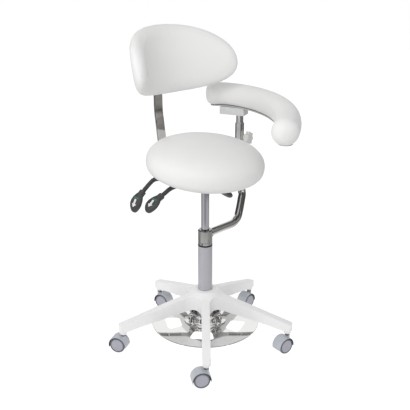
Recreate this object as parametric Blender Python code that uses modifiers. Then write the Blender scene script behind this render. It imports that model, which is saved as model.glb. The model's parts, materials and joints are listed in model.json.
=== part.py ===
"""Clinic stool: domed round seat, wrap-round backrest, swinging torso arm, foot disc and caster base.

Metres, +Z up. The origin is on the floor under the middle of the whole, and the viewer stands at -Y.
The seat and the backrest face FACING degrees round from -Y, towards +X.
"""
import math

import bmesh
import bpy
from mathutils import Matrix, Vector

# Fits shared by all pieces
SEAT_GAP = 0.0003
RUN_GAP = 0.0006

# Where the gas column stands, so that the origin is under the middle of the whole stool
COLUMN_X = 0.0137
COLUMN_Y = -0.0047

# Casters: twin wheels under a hood, on a plain stem
STEM_CIRCLE = 0.300
BASE_TURN = math.radians(0.75)
CASTER_HEADINGS = {"front": 12, "right": 36, "rear_right": 48, "rear_left": 150, "left": -18}
WHEEL_RADIUS = 0.0275
WHEEL_WIDTH = 0.011
WHEEL_SIDES = 16
TYRE_ROUND = 0.003
TYRE_GAP = 0.001
HOOD_WALL = 0.0035
WEB_WIDTH = 0.0176
CASTER_TRAIL = 0.018
AXLE_RADIUS = 0.003
STEM_RADIUS = 0.0055
STEM_TOP = 0.100
NECK_RADIUS = 0.009
NECK_HEIGHT = 0.0095

# Five-star base
HUB_TOP = 0.197
HUB_TOP_RADIUS = 0.0405
HUB_SKIRT_RADIUS = 0.070
HUB_FLOOR = 0.142
SOCKET_RADIUS = 0.031
SOCKET_FLOOR = 0.087
ARM_WIDTH = 0.027
ARM_END = 0.0145
ARM_TOP = ((0.060, 0.179), (0.180, 0.1445), (0.265, 0.1185))
ARM_TIP_TOP = 0.1035
ARM_FLOOR = ((0.245, 0.0895), (0.130, 0.1130), (0.070, 0.1235))
ARM_ROUND = 0.006
BOSS_RADIUS = 0.0145

# Gas column
TUBE_RADIUS = 0.025
TUBE_WALL = 0.0016
TUBE_FLOOR = 0.099
TUBE_PLATE = 0.005
TUBE_TOP = 0.364
BUSH_FLANGE = 0.0030
BUSH_DEPTH = 0.070
CYLINDER_RADIUS = 0.014
CYLINDER_WALL = 0.002
CYLINDER_PLUG = 0.012
CYLINDER_TOP = 0.583
ROD_RADIUS = 0.005
PISTON_TOP = 0.297
PISTON_HEIGHT = 0.010
BEARING_RADIUS = 0.012
BEARING_HEIGHT = 0.006
VALVE_BORE = 0.0042
VALVE_DEPTH = 0.008
STUB_RADIUS = 0.0065
CLIP_RADIUS = 0.009
CLIP_HEIGHT = 0.0025

# Foot disc on a two-way tilting ring under the base
DISC_RADIUS = 0.192
DISC_TOP = 0.0722
DISC_THICK = 0.003
HOLE_INNER = 0.0895
HOLE_OUTER = 0.1417
HOLE_INNER_HALF = 0.031
HOLE_OUTER_HALF = 0.0445
HOLE_ROUND = 0.012
HOLE_TURN = math.radians(-5)
FOOT_HUB_RADIUS = 0.0625
FOOT_HUB_WALL = 0.006
FOOT_HUB_TOP = 0.1105
FOOT_FLANGE = 0.0125
FOOT_FLOOR = 0.003
RING_INNER = 0.037
RING_OUTER = 0.043
RING_HEIGHT = 0.010
RING_LEVEL = 0.094
TRUNNION_RADIUS = 0.003
PLUNGER_RADIUS = 0.0034
PLUNGER_HEAD = 0.006
GUIDE_HEIGHT = 0.012
GUIDE_WALL = 0.0035

# Swinging arm: collars, bent tube, post and clamp knob
LOCK_HEIGHT = 0.009
SWING_HEIGHT = 0.0445
COLLAR_CHAMFER = 0.003
ARM_TUBE_RADIUS = 0.0150
ARM_ROUTE = ((0.055, 0.0605, 0.401), (0.094, 0.104, 0.400), (0.1091, 0.125, 0.406), (0.1198, 0.148, 0.4166),
             (0.1347, 0.220, 0.4557))
ARM_ELBOW = (0.1370, 0.245, 0.4735)
POST_AT = (0.1255, 0.262)
SOCKET_OUTER = 0.0164
SOCKET_WALL = 0.0027
SOCKET_BOTTOM = 0.595
SOCKET_TOP = 0.7345
POST_RADIUS = 0.0131
POST_BOTTOM = 0.627
SPIGOT_RADIUS = 0.008
SPIGOT_HEIGHT = 0.014
KNOB_LEVEL = 0.680
KNOB_TURN = math.radians(-30)
KNOB_RADIUS = 0.0218
KNOB_LOBE = 0.0027
KNOB_LOBES = 7
KNOB_THICK = 0.016
KNOB_NECK = 0.012
STUD_RADIUS = 0.004

# Arm pad on its board and bracket, along one plan curve
PAD_CURVE = ((0.041, 0.2987), (0.1116, 0.3131), (0.3263, 0.1265), (0.228, -0.280))
PAD_RADIUS = 0.0427
PAD_LEVEL = 0.8325
PAD_FLOOR = 0.7953
PAD_STATIONS = 20
BOARD_THICK = 0.0045
BOARD_HALF = 0.0215
BOARD_FROM = 0.0
BOARD_TO = 0.98
BRACKET_BOTTOM = 0.763
BRACKET_LENGTH = 0.095
BRACKET_WIDTH = 0.046
BRACKET_PAST_POST = 0.024
BRACKET_TURN = math.radians(-24.5)

# Seat: its middle plane tilts forwards about the mechanism's pin
FACING = math.radians(42)
SEAT_RADIUS = 0.200
SEAT_LEVEL = 0.652
SEAT_TILT = math.radians(6)
SEAT_CROWN = 0.078
SEAT_DEPTH = 0.051
SEAT_FLOOR = 0.043
SEAT_FULLNESS = 2.6
SEAT_BOARD_RADIUS = 0.122
SEAT_BOARD_THICK = 0.008
SEAT_PLATE_X = 0.150
SEAT_PLATE_Y = 0.180
SEAT_PLATE_THICK = 0.003
EAR_THICK = 0.004
EAR_LENGTH = 0.024

# Mechanism under the seat
HOUSING_HALF = 0.040
HOUSING_FRONT = -0.035
HOUSING_REAR = 0.115
HOUSING_ROOF_REAR = 0.085
HOUSING_TOP = 0.5895
HOUSING_HEIGHT = 0.0165
HOUSING_WALL = 0.0025
CONE_RADIUS = 0.022
CONE_DROP = 0.011
PIN_BACK = 0.065
PIN_LEVEL = 0.578
PIN_RADIUS = 0.004
PIN_PAST_EAR = 0.004

# Backrest: an oval pad wrapped round an upright cylinder, leaning back
BACK_DISTANCE = 0.2043
BACK_LEVEL = 0.9764
BACK_LEAN = math.radians(13.0)
BACK_CURVE = 0.230
BACK_HALF_ARC = 0.2620
BACK_HALF_HEIGHT = 0.1160
BACK_DROOP = 0.0395
BACK_SQUARE = 2.15
BACK_EDGE = 0.060
BACK_CROWN = 0.10
BACK_FRONT = 0.030
BACK_REAR = 0.020
SHELL_THICK = 0.006
SHELL_SHARE = 0.87
BAR_WIDTH = 0.037
BAR_THICK = 0.008
BAR_BEHIND = 0.064
BAR_TOP = 0.075
BAR_STRAIGHT = -0.098
BAR_ROUTE = ((0.2450, 0.835), (0.2440, 0.795), (0.2375, 0.752), (0.2300, 0.702), (0.2225, 0.660),
             (0.2105, 0.617), (0.1900, 0.586), (0.1680, 0.5715))
BAR_FOOT = 0.150
BAR_ROOT = 0.090
CLAMP_LENGTH = 0.070
CLAMP_SIDE = 0.011
CLAMP_REAR = 0.006
CLAMP_LEVEL = -0.023
TONGUE_HALF = 0.022
TONGUE_HEIGHT = 0.010
TONGUE_PAST_PIN = 0.010
TONGUE_REAR = 0.132

# Levers: bent shafts with paddle grips, two on the sitter's right and one on the left
LEVER_RADIUS = 0.0072
LEVER_EYE = 0.008
LEVER_EYE_LENGTH = 0.016
LEVER_LEVEL = 0.581
LEVERS = {
    "back_lever": (-1, 0.100, ((0.090, 0.594), (0.127, 0.6035), (0.146, 0.603), (0.172, 0.5848), (0.2000, 0.5617)), 62),
    "tilt_lever": (-1, 0.030, ((0.090, 0.590), (0.1234, 0.5891), (0.1497, 0.5779), (0.1795, 0.5648)), 38),
    "lift_lever": (1, 0.030, ((0.066, 0.571), (0.085, 0.5535), (0.098, 0.5405), (0.106, 0.5325)), 38),
}
PADDLE_LENGTH = 0.071
PADDLE_WIDTH = 0.054
PADDLE_THICK = 0.023
PADDLE_GRIP = 0.014
PADDLE_NECK = 0.42

# Finishes: base colour, roughness, metallic
WHITE_HIDE = ((0.78, 0.77, 0.76), 0.45, 0.0)
WHITE_NYLON = ((0.83, 0.84, 0.83), 0.35, 0.0)
CHROME = ((0.80, 0.80, 0.80), 0.08, 1.0)
STEEL = ((0.48, 0.48, 0.49), 0.35, 1.0)
GREY_PAINT = ((0.42, 0.43, 0.46), 0.35, 0.6)
CASTER_GREY = ((0.48, 0.51, 0.58), 0.45, 0.0)
TYRE_GREY = ((0.16, 0.16, 0.17), 0.6, 0.0)
BLACK = ((0.03, 0.03, 0.03), 0.5, 0.0)
CHARCOAL = ((0.06, 0.06, 0.06), 0.5, 0.0)
PALE_KNOB = ((0.66, 0.67, 0.65), 0.4, 0.0)
PLYWOOD = ((0.45, 0.33, 0.20), 0.7, 0.0)
BOARD_GREY = ((0.30, 0.30, 0.31), 0.6, 0.0)

for leftover in list(bpy.data.objects):
    bpy.data.objects.remove(leftover, do_unlink=True)

PARTS = bpy.data.collections.new("clinic_stool")
TOOLS = bpy.data.collections.new("cutters")
bpy.context.scene.collection.children.link(PARTS)
bpy.context.scene.collection.children.link(TOOLS)


# Helpers that place, colour, cut and join pieces

def empty(name, parent=None, at=(0, 0, 0), turn=(0, 0, 0)):
    axis = bpy.data.objects.new(name, None)
    PARTS.objects.link(axis)
    axis.parent = parent
    axis.location = at
    axis.rotation_euler = turn
    return axis


def part(name, mesh, parent, look, at=(0, 0, 0), turn=(0, 0, 0)):
    obj = bpy.data.objects.new(name, mesh)
    PARTS.objects.link(obj)
    obj.parent = parent
    obj.location = at
    obj.rotation_euler = turn
    colour, roughness, metallic = look
    finish = bpy.data.materials.new(name + "_finish")
    finish.use_nodes = True
    shader = finish.node_tree.nodes["Principled BSDF"]
    shader.inputs["Base Color"].default_value = (*colour, 1)
    shader.inputs["Roughness"].default_value = roughness
    shader.inputs["Metallic"].default_value = metallic
    mesh.materials.clear()
    mesh.materials.append(finish)
    return obj


def tool(name, mesh, parent, at=(0, 0, 0), turn=(0, 0, 0)):
    obj = bpy.data.objects.new(name, mesh)
    TOOLS.objects.link(obj)
    obj.parent = parent
    obj.location = at
    obj.rotation_euler = turn
    obj.hide_render = True
    obj.display_type = "WIRE"
    return obj


def boolean(obj, other, operation):
    step = obj.modifiers.new(operation.lower() + "_" + other.name, "BOOLEAN")
    step.operation = operation
    step.object = other


def cut(obj, other):
    boolean(obj, other, "DIFFERENCE")


def join(obj, other):
    boolean(obj, other, "UNION")


def bevel(obj, width, segments=2, angle=40):
    step = obj.modifiers.new("round_edges", "BEVEL")
    step.width = width
    step.segments = segments
    step.limit_method = "ANGLE"
    step.angle_limit = math.radians(angle)


def mesh_of(bm, name):
    mesh = bpy.data.meshes.new(name)
    bm.to_mesh(mesh)
    bm.free()
    mesh.shade_smooth()
    mesh.set_sharp_from_angle(angle=math.radians(35))
    return mesh


def block(name, low, high):
    bm = bmesh.new()
    size = Vector(high) - Vector(low)
    middle = (Vector(high) + Vector(low)) / 2
    bmesh.ops.create_cube(bm, size=1, matrix=Matrix.Translation(middle) @ Matrix.Diagonal((*size, 1)))
    return mesh_of(bm, name)


def rod(name, radius, bottom, top, sides=16):
    bm = bmesh.new()
    middle = Matrix.Translation((0, 0, (bottom + top) / 2))
    bmesh.ops.create_cone(bm, cap_ends=True, segments=sides, radius1=radius, radius2=radius,
                          depth=top - bottom, matrix=middle)
    return mesh_of(bm, name)


def profile_mesh(name, points, closed):
    bm = bmesh.new()
    verts = [bm.verts.new((r, 0, z)) for r, z in points]
    for first, second in zip(verts, verts[1:]):
        bm.edges.new((first, second))
    if closed:
        bm.edges.new((verts[-1], verts[0]))
    return mesh_of(bm, name)


def spin(obj, sides):
    step = obj.modifiers.new("turn", "SCREW")
    step.steps = sides
    step.render_steps = sides
    step.use_merge_vertices = True
    step.merge_threshold = 0.00001
    step.use_smooth_shade = True


def turned(name, points, sides, parent, look, at=(0, 0, 0), turn=(0, 0, 0)):
    """A turned piece; a profile that doesn't start on the axis is a closed ring."""
    closed = points[0][0] > 0
    obj = part(name, profile_mesh(name, points, closed), parent, look, at, turn)
    spin(obj, sides)
    return obj


def ring(name, inner, outer, bottom, top, sides, parent, look):
    points = ((inner, top), (outer, top), (outer, bottom), (inner, bottom))
    return turned(name, points, sides, parent, look)


def outline_mesh(name, points, thick):
    """A flat outline in the XY plane with thickness, half above and half below."""
    curve = bpy.data.curves.new(name, "CURVE")
    curve.dimensions = "2D"
    curve.fill_mode = "BOTH"
    curve.extrude = thick / 2
    add_spline(curve, [(x, y, 0) for x, y in points], None, True)
    return curve_mesh(curve, name)


def tube_mesh(name, points, radius, resolution=4, shares=None):
    curve = bpy.data.curves.new(name, "CURVE")
    curve.dimensions = "3D"
    curve.bevel_depth = radius
    curve.bevel_resolution = resolution
    curve.use_fill_caps = True
    add_spline(curve, points, shares, False)
    return curve_mesh(curve, name)


def add_spline(curve, points, shares, cyclic):
    spline = curve.splines.new("POLY")
    spline.points.add(len(points) - 1)
    spline.use_cyclic_u = cyclic
    for index, place in enumerate(points):
        spline.points[index].co = (*place, 1)
        spline.points[index].radius = shares[index] if shares else 1


def curve_mesh(curve, name):
    holder = bpy.data.objects.new(name + "_curve", curve)
    TOOLS.objects.link(holder)
    bpy.context.view_layer.update()
    graph = bpy.context.evaluated_depsgraph_get()
    mesh = bpy.data.meshes.new_from_object(holder.evaluated_get(graph))
    bpy.data.objects.remove(holder, do_unlink=True)
    bm = bmesh.new()
    bm.from_mesh(mesh)
    bpy.data.meshes.remove(mesh)
    bmesh.ops.remove_doubles(bm, verts=bm.verts, dist=0.00001)
    bmesh.ops.dissolve_limit(bm, angle_limit=0.001, verts=bm.verts, edges=bm.edges)
    bmesh.ops.recalc_face_normals(bm, faces=bm.faces)
    return mesh_of(bm, name)


def smooth_path(points, per_span):
    """Catmull-Rom points through the given places."""
    places = [Vector(p) for p in points]
    ends = [2 * places[0] - places[1]] + places + [2 * places[-1] - places[-2]]
    path = []
    for a, b, c, d in zip(ends, ends[1:], ends[2:], ends[3:]):
        for step in range(per_span):
            t = step / per_span
            path.append(0.5 * (2 * b + (c - a) * t + (2 * a - 5 * b + 4 * c - d) * t ** 2
                               + (3 * b - 3 * c + d - a) * t ** 3))
    return path + [places[-1]]


def rounded_corners(corners, radius, steps=4):
    """A closed outline whose corners are arcs of one radius."""
    points = []
    for before, corner, after in zip(corners[-1:] + corners[:-1], corners, corners[1:] + corners[:1]):
        place = Vector(corner)
        to_before = (Vector(before) - place).normalized()
        to_after = (Vector(after) - place).normalized()
        half = to_before.angle(to_after) / 2
        start = place + to_before * radius / math.tan(half)
        end = place + to_after * radius / math.tan(half)
        middle = place + (to_before + to_after).normalized() * radius / math.sin(half)
        first = start - middle
        sweep = first.angle_signed(end - middle)
        for step in range(steps + 1):
            share = -sweep * step / steps
            points.append(middle + Matrix.Rotation(share, 2) @ first)
    return points


# Frames that the pieces hang on

STOOL = empty("stool_frame", at=(COLUMN_X, COLUMN_Y, 0))
CHAIR = empty("chair_frame", STOOL, turn=(0, 0, FACING))
SEAT = empty("seat_frame", CHAIR, at=(0, 0, SEAT_LEVEL), turn=(SEAT_TILT, 0, 0))
POST = empty("post_axis", STOOL, at=(*POST_AT, 0))


# Casters

HOOD_RADIUS = WHEEL_RADIUS + TYRE_GAP + HOOD_WALL
HOOD_HALF = WEB_WIDTH / 2 + RUN_GAP + WHEEL_WIDTH
NECK_BOTTOM = WHEEL_RADIUS + HOOD_RADIUS + SEAT_GAP
BOSS_BOTTOM = NECK_BOTTOM + NECK_HEIGHT + SEAT_GAP
QUARTER = math.radians(90)


def caster(place, index, heading):
    angle = BASE_TURN - QUARTER + index * 2 * math.pi / len(CASTER_HEADINGS)
    foot = (STEM_CIRCLE * math.cos(angle), STEM_CIRCLE * math.sin(angle), 0)
    swivel = empty(f"caster_{place}_swivel", STOOL, foot, (0, 0, math.radians(heading)))
    wheel_axis = empty(f"caster_{place}_wheel_axis", swivel, (-CASTER_TRAIL, 0, WHEEL_RADIUS), (QUARTER, 0, 0))
    caster_stem(f"caster_{place}_stem", swivel)
    caster_hood(f"caster_{place}_hood", swivel, wheel_axis)
    axle_half = WEB_WIDTH / 2 + RUN_GAP + WHEEL_WIDTH * 0.6
    part(f"caster_{place}_axle", rod("axle", AXLE_RADIUS, -axle_half, axle_half, 12), wheel_axis, STEEL)
    for side, letter in ((1, "a"), (-1, "b")):
        caster_wheel(f"caster_{place}_wheel_{letter}", wheel_axis, side)


def caster_stem(name, swivel):
    neck_top = NECK_BOTTOM + NECK_HEIGHT
    stem_bottom = WHEEL_RADIUS + 0.45 * WHEEL_RADIUS
    turned(name, ((0, STEM_TOP), (STEM_RADIUS, STEM_TOP), (STEM_RADIUS, neck_top), (NECK_RADIUS, neck_top),
                  (NECK_RADIUS, NECK_BOTTOM), (STEM_RADIUS, NECK_BOTTOM), (STEM_RADIUS, stem_bottom),
                  (0, stem_bottom)), 10, swivel, STEEL)


def caster_hood(name, swivel, wheel_axis):
    hood = part(name, rod(name, HOOD_RADIUS, -HOOD_HALF, HOOD_HALF, 24), wheel_axis, CASTER_GREY)
    for side in (1, -1):
        near, far = sorted((side * WEB_WIDTH / 2, side * 2 * HOOD_HALF))
        cut(hood, tool(f"{name}_pocket", rod("pocket", WHEEL_RADIUS + TYRE_GAP, near, far, 24), wheel_axis))
    below = block("below", (-2 * HOOD_RADIUS, -2 * HOOD_RADIUS, -2 * HOOD_HALF),
                  (2 * HOOD_RADIUS, -AXLE_RADIUS, 2 * HOOD_HALF))
    cut(hood, tool(f"{name}_below", below, wheel_axis))
    join(hood, tool(f"{name}_axle_boss", rod("boss", 3 * AXLE_RADIUS, -WEB_WIDTH / 2, WEB_WIDTH / 2, 12),
                    wheel_axis))
    boss_radius = WEB_WIDTH / 2 - SEAT_GAP
    join(hood, tool(f"{name}_stem_boss", rod("boss", boss_radius, WHEEL_RADIUS, NECK_BOTTOM - SEAT_GAP, 12), swivel))
    cut(hood, tool(f"{name}_axle_bore", rod("bore", AXLE_RADIUS + SEAT_GAP, -HOOD_HALF, HOOD_HALF, 12),
                   wheel_axis))
    bore_floor = WHEEL_RADIUS + 0.4 * WHEEL_RADIUS
    cut(hood, tool(f"{name}_stem_bore", rod("bore", STEM_RADIUS + SEAT_GAP, bore_floor, STEM_TOP, 12), swivel))


def caster_wheel(name, wheel_axis, side):
    """A wheel whose lowest facet lies flat on the floor."""
    flat = WHEEL_RADIUS / math.cos(math.pi / WHEEL_SIDES)
    inner = WEB_WIDTH / 2 + RUN_GAP
    outer = inner + WHEEL_WIDTH
    bore = AXLE_RADIUS + SEAT_GAP
    bore_end = inner + WHEEL_WIDTH * 0.7
    points = ((0, outer), (flat - TYRE_ROUND, outer), (flat, outer - TYRE_ROUND), (flat, inner + TYRE_ROUND),
              (flat - TYRE_ROUND, inner), (bore, inner), (bore, bore_end), (0, bore_end))
    turn_over = 0 if side > 0 else math.pi
    half_step = math.pi / WHEEL_SIDES
    turned(name, points, WHEEL_SIDES, wheel_axis, TYRE_GREY, turn=(turn_over, 0, half_step))


for number, (spot, degrees) in enumerate(CASTER_HEADINGS.items()):
    caster(spot, number, degrees)


# Five-star base

def base_arm_mesh():
    """The arm's side outline, stood on edge along +X."""
    reach = STEM_CIRCLE + ARM_END
    top = [(0, HUB_TOP - ARM_ROUND)] + list(ARM_TOP)
    tip = [(reach, ARM_TIP_TOP), (reach, BOSS_BOTTOM + ARM_ROUND), (STEM_CIRCLE - BOSS_RADIUS, BOSS_BOTTOM + ARM_ROUND)]
    floor = list(ARM_FLOOR) + [(0, ARM_FLOOR[-1][1])]
    mesh = outline_mesh("arm", top + tip + floor, ARM_WIDTH)
    mesh.transform(Matrix.Rotation(QUARTER, 4, "X"))
    return mesh


base = turned("base_star", ((0, HUB_TOP), (HUB_TOP_RADIUS, HUB_TOP), (HUB_TOP_RADIUS + ARM_ROUND, HUB_TOP - ARM_ROUND),
                            (HUB_SKIRT_RADIUS, HUB_FLOOR + ARM_ROUND), (HUB_SKIRT_RADIUS, HUB_FLOOR),
                            (SOCKET_RADIUS, HUB_FLOOR), (SOCKET_RADIUS, SOCKET_FLOOR), (0, SOCKET_FLOOR)),
              32, STOOL, WHITE_NYLON)
arm_mesh = base_arm_mesh()
stem_bores = []
for number in range(len(CASTER_HEADINGS)):
    turn = (0, 0, BASE_TURN - QUARTER + number * 2 * math.pi / len(CASTER_HEADINGS))
    spoke = tool(f"base_arm_{number}", arm_mesh, STOOL, turn=turn)
    bevel(spoke, ARM_ROUND, 1)
    join(base, spoke)
    spoke_axis = empty(f"base_arm_{number}_axis", STOOL, turn=turn)
    boss = rod("boss", BOSS_RADIUS, BOSS_BOTTOM, ARM_TIP_TOP - 2 * ARM_ROUND, 16)
    join(base, tool(f"base_boss_{number}", boss, spoke_axis, (STEM_CIRCLE, 0, 0)))
    bore = rod("bore", STEM_RADIUS + SEAT_GAP, BOSS_BOTTOM - NECK_HEIGHT, STEM_TOP + SEAT_GAP, 12)
    stem_bores.append(tool(f"base_stem_bore_{number}", bore, spoke_axis, (STEM_CIRCLE, 0, 0)))
for stem_bore in stem_bores:
    cut(base, stem_bore)
column_bore = rod("bore", TUBE_RADIUS + SEAT_GAP, SOCKET_FLOOR - TUBE_PLATE, HUB_TOP + TUBE_PLATE, 32)
cut(base, tool("base_column_bore", column_bore, STOOL))


# Gas column: outer tube, guide bush, thrust bearing, rod and cylinder

TUBE_BORE = TUBE_RADIUS - TUBE_WALL
PLATE_TOP = TUBE_FLOOR + TUBE_PLATE
BEARING_BOTTOM = PLATE_TOP + SEAT_GAP
SHOULDER = BEARING_BOTTOM + BEARING_HEIGHT + SEAT_GAP
CYLINDER_BOTTOM = SHOULDER + CLIP_HEIGHT + SEAT_GAP
ROD_END = TUBE_FLOOR - SEAT_GAP - CLIP_HEIGHT
BUSH_BOTTOM = TUBE_TOP - BUSH_DEPTH
BUSH_TOP = TUBE_TOP + SEAT_GAP + BUSH_FLANGE
COLUMN_SIDES = 24

turned("column_tube", ((TUBE_BORE, TUBE_TOP), (TUBE_RADIUS, TUBE_TOP), (TUBE_RADIUS, TUBE_FLOOR),
                       (STUB_RADIUS + RUN_GAP, TUBE_FLOOR), (STUB_RADIUS + RUN_GAP, PLATE_TOP), (TUBE_BORE, PLATE_TOP)),
       COLUMN_SIDES, STOOL, GREY_PAINT)
turned("guide_bush", ((CYLINDER_RADIUS + SEAT_GAP, BUSH_TOP), (TUBE_RADIUS, BUSH_TOP), (TUBE_RADIUS, TUBE_TOP + SEAT_GAP),
                      (TUBE_BORE - SEAT_GAP, TUBE_TOP + SEAT_GAP), (TUBE_BORE - SEAT_GAP, BUSH_BOTTOM),
                      (CYLINDER_RADIUS + SEAT_GAP, BUSH_BOTTOM)), COLUMN_SIDES, STOOL, BLACK)
ring("thrust_bearing", STUB_RADIUS + RUN_GAP, BEARING_RADIUS, BEARING_BOTTOM, BEARING_BOTTOM + BEARING_HEIGHT, 20,
     STOOL, STEEL)
BORE_RADIUS = CYLINDER_RADIUS - CYLINDER_WALL
turned("piston_rod", ((0, PISTON_TOP), (BORE_RADIUS - SEAT_GAP, PISTON_TOP),
                      (BORE_RADIUS - SEAT_GAP, PISTON_TOP - PISTON_HEIGHT), (ROD_RADIUS, PISTON_TOP - PISTON_HEIGHT),
                      (ROD_RADIUS, SHOULDER + CLIP_HEIGHT), (CLIP_RADIUS, SHOULDER + CLIP_HEIGHT), (CLIP_RADIUS, SHOULDER),
                      (STUB_RADIUS, SHOULDER), (STUB_RADIUS, TUBE_FLOOR - SEAT_GAP), (CLIP_RADIUS, TUBE_FLOOR - SEAT_GAP),
                      (CLIP_RADIUS, ROD_END), (VALVE_BORE, ROD_END), (VALVE_BORE, ROD_END + VALVE_DEPTH),
                      (0, ROD_END + VALVE_DEPTH)), 16, STOOL, STEEL)
turned("gas_cylinder", ((0, CYLINDER_TOP), (CYLINDER_RADIUS, CYLINDER_TOP), (CYLINDER_RADIUS, CYLINDER_BOTTOM),
                        (ROD_RADIUS + SEAT_GAP, CYLINDER_BOTTOM), (ROD_RADIUS + SEAT_GAP, CYLINDER_BOTTOM + CYLINDER_PLUG),
                        (BORE_RADIUS, CYLINDER_BOTTOM + CYLINDER_PLUG), (BORE_RADIUS, CYLINDER_TOP - CYLINDER_PLUG),
                        (0, CYLINDER_TOP - CYLINDER_PLUG)), 24, STOOL, CHROME)


# Foot disc, its hub, the tilting ring and the release plunger

FOOT_BOTTOM = DISC_TOP - DISC_THICK - SEAT_GAP - FOOT_FLOOR
FOOT_FLOOR_TOP = FOOT_BOTTOM + FOOT_FLOOR
HUB_BORE = FOOT_HUB_RADIUS - FOOT_HUB_WALL
TILT = empty("foot_tilt_centre", STOOL, (0, 0, RING_LEVEL))


def foot_disc():
    disc = part("foot_disc", rod("foot_disc", DISC_RADIUS, -DISC_THICK / 2, DISC_THICK / 2, 60), STOOL, CHROME,
                (0, 0, DISC_TOP - DISC_THICK / 2))
    cut(disc, tool("foot_disc_bore", rod("bore", FOOT_HUB_RADIUS + RUN_GAP, -DISC_THICK, DISC_THICK, 24), disc))
    corners = [(HOLE_INNER, HOLE_INNER_HALF), (HOLE_INNER, -HOLE_INNER_HALF),
               (HOLE_OUTER, -HOLE_OUTER_HALF), (HOLE_OUTER, HOLE_OUTER_HALF)]
    hole = outline_mesh("foot_hole", rounded_corners(corners, HOLE_ROUND, 3), 2 * DISC_THICK)
    for number in range(5):
        turn = HOLE_TURN - QUARTER + number * 2 * math.pi / 5
        cut(disc, tool(f"foot_hole_{number}", hole, disc, turn=(0, 0, turn)))


foot_disc()
foot_hub = turned("foot_hub", ((HUB_BORE, FOOT_HUB_TOP), (FOOT_HUB_RADIUS, FOOT_HUB_TOP),
                               (FOOT_HUB_RADIUS, FOOT_FLOOR_TOP), (FOOT_HUB_RADIUS + FOOT_FLANGE, FOOT_FLOOR_TOP),
                               (FOOT_HUB_RADIUS + FOOT_FLANGE, FOOT_BOTTOM), (PLUNGER_RADIUS + SEAT_GAP, FOOT_BOTTOM),
                               (PLUNGER_RADIUS + SEAT_GAP, FOOT_FLOOR_TOP + GUIDE_HEIGHT),
                               (PLUNGER_RADIUS + GUIDE_WALL, FOOT_FLOOR_TOP + GUIDE_HEIGHT),
                               (PLUNGER_RADIUS + GUIDE_WALL, FOOT_FLOOR_TOP), (HUB_BORE, FOOT_FLOOR_TOP)),
                  24, STOOL, CHROME)
PLUNGER_BOTTOM = FOOT_FLOOR_TOP + GUIDE_HEIGHT + SEAT_GAP
turned("release_plunger", ((0, ROD_END + SEAT_GAP), (PLUNGER_RADIUS, ROD_END + SEAT_GAP),
                           (PLUNGER_RADIUS, PLUNGER_BOTTOM + FOOT_FLOOR / 2), (PLUNGER_HEAD, PLUNGER_BOTTOM + FOOT_FLOOR / 2),
                           (PLUNGER_HEAD, PLUNGER_BOTTOM), (PLUNGER_RADIUS, PLUNGER_BOTTOM), (PLUNGER_RADIUS, FOOT_BOTTOM),
                           (0, FOOT_BOTTOM)), 12, STOOL, STEEL)
pivot_ring = ring("pivot_ring", RING_INNER, RING_OUTER, RING_LEVEL - RING_HEIGHT / 2, RING_LEVEL + RING_HEIGHT / 2, 24,
                  STOOL, STEEL)
RING_MIDDLE = (RING_INNER + RING_OUTER) / 2
for side in (1, -1):
    near, far = sorted((side * (SOCKET_RADIUS + SEAT_GAP), side * RING_MIDDLE))
    join(pivot_ring, tool("ring_inner_pin", rod("pin", TRUNNION_RADIUS, near, far, 12), TILT, turn=(0, QUARTER, 0)))
    near, far = sorted((side * RING_MIDDLE, side * (HUB_BORE - RUN_GAP)))
    join(pivot_ring, tool("ring_outer_pin", rod("pin", TRUNNION_RADIUS, near, far, 12), TILT, turn=(QUARTER, 0, 0)))


# Swinging arm

LOCK_BOTTOM = BUSH_TOP + SEAT_GAP
LOCK_TOP = LOCK_BOTTOM + LOCK_HEIGHT
SWING_BOTTOM = LOCK_TOP + SEAT_GAP
SWING_TOP = SWING_BOTTOM + SWING_HEIGHT
COLLAR_BORE = CYLINDER_RADIUS + SEAT_GAP

ring("lock_collar", COLLAR_BORE, TUBE_RADIUS, LOCK_BOTTOM, LOCK_TOP, COLUMN_SIDES, STOOL, STEEL)
turned("swing_collar", ((COLLAR_BORE, SWING_TOP), (TUBE_RADIUS - COLLAR_CHAMFER, SWING_TOP),
                        (TUBE_RADIUS, SWING_TOP - COLLAR_CHAMFER), (TUBE_RADIUS, SWING_BOTTOM), (COLLAR_BORE, SWING_BOTTOM)),
       COLUMN_SIDES, STOOL, STEEL)


def arm_tube():
    """From the collar's side out, up and back to an upright end under the post socket."""
    start = Vector(ARM_ROUTE[0])
    collar_end = Vector((start.x, start.y, 0)).normalized() * TUBE_RADIUS * 0.7
    post_foot = Vector((*POST_AT, 0))
    levels = ((SOCKET_BOTTOM + ARM_ELBOW[2]) / 2, SOCKET_BOTTOM - ARM_TUBE_RADIUS, SOCKET_BOTTOM - SEAT_GAP)
    upright = [post_foot + Vector((0, 0, z)) for z in levels]
    route = [(collar_end.x, collar_end.y, start.z)] + list(ARM_ROUTE) + [ARM_ELBOW] + upright
    tube = part("arm_tube", tube_mesh("arm_tube", smooth_path(route, 3), ARM_TUBE_RADIUS, 4), STOOL, CHROME)
    cope = rod("cope", TUBE_RADIUS + SEAT_GAP, SWING_BOTTOM - TUBE_RADIUS, SWING_TOP + TUBE_RADIUS, 32)
    cut(tube, tool("arm_tube_cope", cope, STOOL))


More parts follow.
